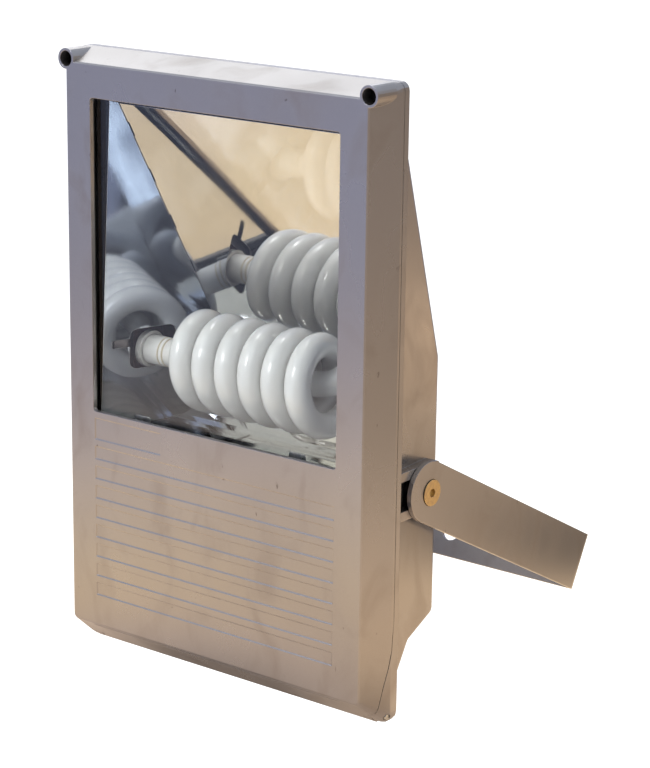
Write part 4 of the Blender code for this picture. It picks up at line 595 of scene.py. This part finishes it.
def room_tones():
    """The dish's look: a painted shadow right under the floodlight, warm like a wooden floor round
    it and dull at its rim.
    """
    look = Finish("room_tones")
    place = look.place()
    x, y, _ = look.apart(place)
    from_middle = look.node("ShaderNodeCombineXYZ", {"X": x, "Y": look.math("SUBTRACT", y, DISH_Y)})
    away = look.node(
        "ShaderNodeVectorMath", {0: from_middle.outputs["Vector"]}, operation="LENGTH"
    ).outputs["Value"]
    left, right = (tones_by_distance(look, away, stops) for stops in (LEFT_TONES, RIGHT_TONES))
    colour = look.mix(look.ramp(x, *LEFT_TO_RIGHT), left, right)
    beneath = look.math(
        "MULTIPLY", look.ramp(away, *BENEATH_REACH), look.ramp(y, *BENEATH_FRONT)
    )
    colour = look.mix(beneath, colour, BENEATH_TONE)
    # Painted shadow and painted pool of light on the dish
    for middle, outer, inner, tone in SHADOW_AND_LIGHT_SPOTS:
        off = look.node("ShaderNodeVectorMath", {0: place, 1: middle}, operation="DISTANCE")
        colour = look.mix(look.ramp(off.outputs["Value"], outer, inner), colour, tone)
    across = look.math("MULTIPLY", x, PANE_ACROSS[0])
    across = look.math("ADD", across, look.math("MULTIPLY", y, PANE_ACROSS[1]))
    wave = look.ramp(look.noise(16.0), 0.3, 0.7, -PANE_WAVE, PANE_WAVE)
    off = look.math("SUBTRACT", look.math("ADD", across, wave), PANE_PLACE)
    pane = look.ramp(look.math("ABSOLUTE", off), *PANE_FADE)
    depth = look.node("ShaderNodeLightPath").outputs["Glossy Depth"]
    deep = look.math("GREATER_THAN", depth, MIRRORED_THRICE)
    colour = look.mix(deep, colour, look.mix(pane, ROOM_TONE, PANE_TONE))
    emission = look.node("ShaderNodeEmission", {"Color": colour})
    clear = look.node("ShaderNodeBsdfTransparent")
    both = look.node("ShaderNodeMixShader", {
        "Fac": look.math("GREATER_THAN", depth, MIRRORED_ONCE),
        1: clear.outputs["BSDF"], 2: emission.outputs["Emission"],
    })
    look.surface(both.outputs["Shader"])
    return look.material


dish_points = [(0.0, DISH_Y, LOW_Z)]
for height in (0.0, DISH_HEIGHT):
    for i in range(DISH_SIDES):
        turn = 2 * math.pi * i / DISH_SIDES
        dish_points.append((
            DISH_RADIUS * math.cos(turn), DISH_Y + DISH_RADIUS * math.sin(turn), LOW_Z + height
        ))
dish_faces = []
for i in range(DISH_SIDES):
    one, two = 1 + i, 1 + (i + 1) % DISH_SIDES
    dish_faces += [(0, one, two), (one, one + DISH_SIDES, two + DISH_SIDES, two)]
dish = stage_mesh("room_tones", dish_points, dish_faces, room_tones())
dish.visible_shadow = False
dish.visible_diffuse = False

bpy.context.scene.view_settings.view_transform = "Standard"


# Pieces that take the place of plain CAD solids

SHARP_EDGE = math.radians(50)


def face(x, y, z):
    return FACE + Vector((x, y, z))


def finish_piece(name, shape, look, body, slot, *replaced):
    """Turns the bmesh into a smooth piece that rides a body in place of the CAD nodes."""
    bmesh.ops.recalc_face_normals(shape, faces=shape.faces)
    for edge in shape.edges:
        if edge.calc_face_angle(0.0) > SHARP_EDGE:
            edge.smooth = False
    mesh = bpy.data.meshes.new(name)
    shape.to_mesh(mesh)
    shape.free()
    mesh.materials.append(look)
    for polygon in mesh.polygons:
        polygon.use_smooth = True
    made = bpy.data.objects.new(name, mesh)
    bpy.context.scene.collection.objects.link(made)
    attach(made, body)
    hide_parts(*replaced)


def bridge(shape, rings, closed=False):
    """Quads between rings of the same length, with its two ends capped unless closed."""
    rows = [[shape.verts.new(point) for point in ring] for ring in rings]
    pairs = list(zip(rows, rows[1:]))
    if closed:
        pairs.append((rows[-1], rows[0]))
    for one, two in pairs:
        for i in range(len(one)):
            j = (i + 1) % len(one)
            shape.faces.new((one[i], one[j], two[j], two[i]))
    if not closed:
        shape.faces.new(rows[0][::-1])
        shape.faces.new(rows[-1])


def ring_round(middle, side, other, radius, sides):
    turns = [2 * math.pi * k / sides for k in range(sides)]
    return [middle + (side * math.cos(t) + other * math.sin(t)) * radius for t in turns]


def tube_rings(points, radii, sides):
    """Rings round a path, turned as little as the path allows."""
    rings = []
    side = None
    for i, point in enumerate(points):
        along = (points[min(i + 1, len(points) - 1)] - points[max(i - 1, 0)]).normalized()
        if side is None:
            side = along.orthogonal().normalized()
        side = (side - along * side.dot(along)).normalized()
        rings.append(ring_round(point, side, along.cross(side), radii[i], sides))
    return rings


def tube(name, points, radii, sides, look, body, slot, *replaced):
    shape = bmesh.new()
    bridge(shape, tube_rings(points, radii, sides))
    finish_piece(name, shape, look, body, slot, *replaced)


def smooth_path(knots, samples):
    """A curve through its own knots."""
    points = [knots[0]]
    for i in range(len(knots) - 1):
        before = knots[max(i - 1, 0)]
        after = knots[min(i + 2, len(knots) - 1)]
        span = (knots[i + 1] - knots[i]).length / 3
        leaving = (knots[i + 1] - before).normalized() * span
        arriving = (after - knots[i]).normalized() * span
        piece = interpolate_bezier(
            knots[i], knots[i] + leaving, knots[i + 1] - arriving, knots[i + 1], samples + 1
        )
        points += [Vector(point) for point in piece[1:]]
    return points


# The lamp: the CAD's own centre line, drawn finely
LAMP_Y = 0.048
LAMP_Z = 0.1695
COLLAR_RIGHT = -0.0585
LEAD_IN_X = -0.0532
COIL_START_X = -0.042
COIL_PITCH = 0.0179
COIL_RADIUS = 0.0232
COIL_TURNS = 5.5
COIL_FIRST_TURN = -0.45
COIL_LEAD_IN = 0.6
TUBE_RADIUS = 0.008
NECK_RADIUS = 0.0037
NECK_OFFSET = 0.0044
LAMP_GAP = 0.0003
# Where the tube turns home and where its neck starts, in pitches, and how far the turn bulges
TURN_IN = 1.1
NECK_START = 1.2
CURL_LEAVING = 1.25
CURL_ARRIVING = 1.1
COIL_STEPS = 64
HOME_STEPS = 32
TUBE_SIDES = 28


def eased(share):
    return share * share * (3 - 2 * share)


def lamp_path():
    """The tube's centre line and radii: neck, coil, curl, and the straight leg home."""
    lead_steps = round(COIL_LEAD_IN * COIL_STEPS)
    coil_steps = round((COIL_TURNS - COIL_FIRST_TURN) * COIL_STEPS)
    points, radii = [], []
    for i in range(-lead_steps, coil_steps + 1):
        turn = COIL_FIRST_TURN + i / COIL_STEPS
        angle = 2 * math.pi * turn
        grown = eased(min(1.0, 1 + i / lead_steps))
        radius = NECK_OFFSET + (COIL_RADIUS - NECK_OFFSET) * grown
        x = COIL_START_X + COIL_PITCH * max(turn, COIL_FIRST_TURN)
        points.append(Vector((
            LEAD_IN_X + (x - LEAD_IN_X) * grown,
            LAMP_Y - radius * math.cos(angle),
            LAMP_Z - radius * math.sin(angle),
        )))
        radii.append(NECK_RADIUS + (TUBE_RADIUS - NECK_RADIUS) * grown)
    start, last = points[0], points[-1]
    along = (last - points[-2]).normalized()
    home_y, home_z = 2 * LAMP_Y - start.y, 2 * LAMP_Z - start.z
    turn_in = Vector((last.x - COIL_PITCH * TURN_IN, home_y, home_z))
    reach = COIL_RADIUS * CURL_LEAVING
    curl = interpolate_bezier(
        last, last + along * reach, turn_in + Vector((reach * CURL_ARRIVING, 0, 0)), turn_in,
        HOME_STEPS + 1,
    )
    points += [Vector(point) for point in curl[1:]]
    radii += [TUBE_RADIUS] * HOME_STEPS
    end_x = COLLAR_RIGHT + LAMP_GAP
    neck_from = COIL_START_X + COIL_PITCH * NECK_START
    for i in range(1, HOME_STEPS + 1):
        x = turn_in.x + (end_x - turn_in.x) * i / HOME_STEPS
        share = eased(min(1.0, max(0.0, (neck_from - x) / (neck_from - COIL_START_X))))
        points.append(Vector((x, home_y, home_z)))
        radii.append(TUBE_RADIUS + (NECK_RADIUS - TUBE_RADIUS) * share)
    points.insert(0, Vector((end_x, start.y, start.z)))
    radii.insert(0, NECK_RADIUS)
    return [FACE + point for point in points], radii


lamp_points, lamp_radii = lamp_path()
tube("lamp_spiral", lamp_points, lamp_radii, TUBE_SIDES, LAMP_GLASS, "head", "lamp_glass",
     "lamp_tube")


def turned_piece(name, profile, centre, axis, look, body, slot, *replaced,
                 sides=48, closed=False):
    """A turned form: profile holds (place along the axis, radius)."""
    axis = Vector(axis).normalized()
    side = axis.orthogonal().normalized()
    other = axis.cross(side)
    rings = [ring_round(centre + axis * along, side, other, radius, sides)
             for along, radius in profile]
    shape = bmesh.new()
    bridge(shape, rings, closed)
    finish_piece(name, shape, look, body, slot, *replaced)


# The lamp's cap: a moulded body with a rim, a ring between two seams, and the neck
BASE_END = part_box("lamp_base")[0].x
CAP_SIDES = 64
CAP_PROFILE = (
    (BASE_END, 0.0070), (BASE_END + 0.0003, 0.0079), (BASE_END + 0.0010, 0.0086),
    (BASE_END + 0.0013, 0.0088), (BASE_END + 0.0028, 0.0088), (BASE_END + 0.0031, 0.0091),
    (BASE_END + 0.0034, 0.0092), (-0.0758, 0.0092), (-0.0755, 0.0091), (-0.0753, 0.0088),
    (-0.0752, 0.0085), (-0.0750, 0.0085), (-0.0749, 0.0088), (-0.0747, 0.0090),
    (-0.0744, 0.0091), (-0.0724, 0.0091), (-0.0721, 0.0090), (-0.0719, 0.0088),
    (-0.0718, 0.0084), (-0.0716, 0.0084), (-0.0715, 0.0086), (-0.0712, 0.0088),
    (-0.0595, 0.0088), (-0.0590, 0.0087), (-0.0586, 0.0084), (COLLAR_RIGHT, 0.0080),
)
turned_piece("lamp_cap", CAP_PROFILE, face(0.0, LAMP_Y, LAMP_Z), (1, 0, 0), LAMP_PLASTIC,
             "head", "lamp_plastic", "lamp_base", sides=CAP_SIDES)


# Leads and seals

LEAD_RADIUS = 0.0014
LEAD_TIP = 0.86
LEAD_SIDES = 16
LEAD_SAMPLES = 14


def lead(name, look, slot, route):
    points = smooth_path([face(*point) for point in route], LEAD_SAMPLES)
    radii = [LEAD_RADIUS] * len(points)
    radii[0] = radii[-1] = LEAD_RADIUS * LEAD_TIP
    tube(name + "_flex", points, radii, LEAD_SIDES, look, "head", slot, name)


lead("mains_lead", BROWN_LEAD, "brown_lead", [
    (0.0552, 0.0787, 0.042), (0.0527, 0.0787, 0.042), (0.0468, 0.0747, 0.0445),
    (0.0443, 0.0747, 0.0445),
])
lead("earth_lead", GREEN_LEAD, "green_lead", [
    (0.0552, 0.0787, 0.058), (0.0527, 0.0787, 0.059), (0.0517, 0.0797, 0.073),
    (0.0562, 0.085, 0.0855), (0.0586, 0.0883, 0.088),
])
lead("lamp_lead", BROWN_LEAD, "brown_lead", [
    (-0.0563, 0.0747, 0.084), (-0.0663, 0.0747, 0.084), (-0.0811, 0.0672, 0.1033),
    (-0.0886, 0.06135, 0.1276), (-0.0886, 0.048, 0.1477), (-0.08908, 0.048, 0.1577),
])


# Steps of arc in a seal's corner round the window, and in its section's rounding
CORNER_STEPS = 10
SECTION_STEPS = 3


def frame_seal(name, half, low, high, corner, section, body, replaced):
    """A moulded seal round a window: section holds its (outwards, back) points."""
    middles = ((half - corner, high - corner), (corner - half, high - corner),
               (corner - half, low + corner), (half - corner, low + corner))
    rings = []
    for quarter, (x, z) in enumerate(middles):
        for i in range(CORNER_STEPS + 1):
            turn = math.pi / 2 * (quarter + i / CORNER_STEPS)
            out = Vector((math.cos(turn), 0.0, math.sin(turn)))
            point = face(x, 0.0, z) + out * corner
            rings.append([point + out * away + Vector((0.0, back, 0.0))
                          for away, back in section])
    shape = bmesh.new()
    bridge(shape, rings, closed=True)
    finish_piece(name, shape, SILICONE, body, "silicone", replaced)


def rounded_section(inner, outer, front, back, round_by):
    """The cross-section of a seal with rounded corners."""
    middles = ((outer - round_by, back - round_by), (inner + round_by, back - round_by),
               (inner + round_by, front + round_by), (outer - round_by, front + round_by))
    section = []
    for quarter, (away, deep) in enumerate(middles):
        for i in range(SECTION_STEPS + 1):
            turn = math.pi / 2 * (quarter + i / SECTION_STEPS)
            section.append((away + round_by * math.cos(turn), deep + round_by * math.sin(turn)))
    return section


# Each seal's half width, lower and upper edge, corner radius and section
DOOR_SEAL = (0.106, -0.001, 0.3495, 0.0115)
DOOR_SEAL_SECTION = rounded_section(-0.0025, 0.0025, 0.0189, 0.0225, 0.0012)
GLASS_SEAL = (0.0984, 0.1335, 0.3345, 0.0048)
GLASS_SEAL_SECTION = rounded_section(-0.0042, 0.0, 0.0033, 0.0043, 0.0004)
frame_seal("door_seal", *DOOR_SEAL, DOOR_SEAL_SECTION, "head", "door_gasket")
frame_seal("glass_seal", *GLASS_SEAL, GLASS_SEAL_SECTION, "door", "glass_gasket")

WASHER_BORE = 0.0028
WASHER_ROUND = 0.9


def turned_seal(name, section, centre, axis, body, replaced):
    profile = [(deep, away) for away, deep in section]
    turned_piece(name, profile, centre, axis, SILICONE, body, "silicone", replaced, closed=True)


for side_name in ("left", "right"):
    washer = "door_washer_" + side_name
    low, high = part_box(washer)
    outer = (high.x - low.x) / 2
    half_thick = (high.y - low.y) / 2
    washer_section = rounded_section(
        WASHER_BORE, outer, -half_thick, half_thick, half_thick * WASHER_ROUND
    )
    turned_seal("washer_seal_" + side_name, washer_section, (low + high) / 2, (0, 1, 0),
                "door", washer)

GLAND_PLACE = face(0.0, 0.08825, 0.01860)
GLAND_AXIS = Vector((0.0, -0.3655, 0.9308))
GLAND_SECTION = rounded_section(0.0035, 0.0057, -0.0134, -0.0066, 0.0009)
turned_seal("gland_sleeve", GLAND_SECTION, GLAND_PLACE, GLAND_AXIS, "head", "gland_seal")
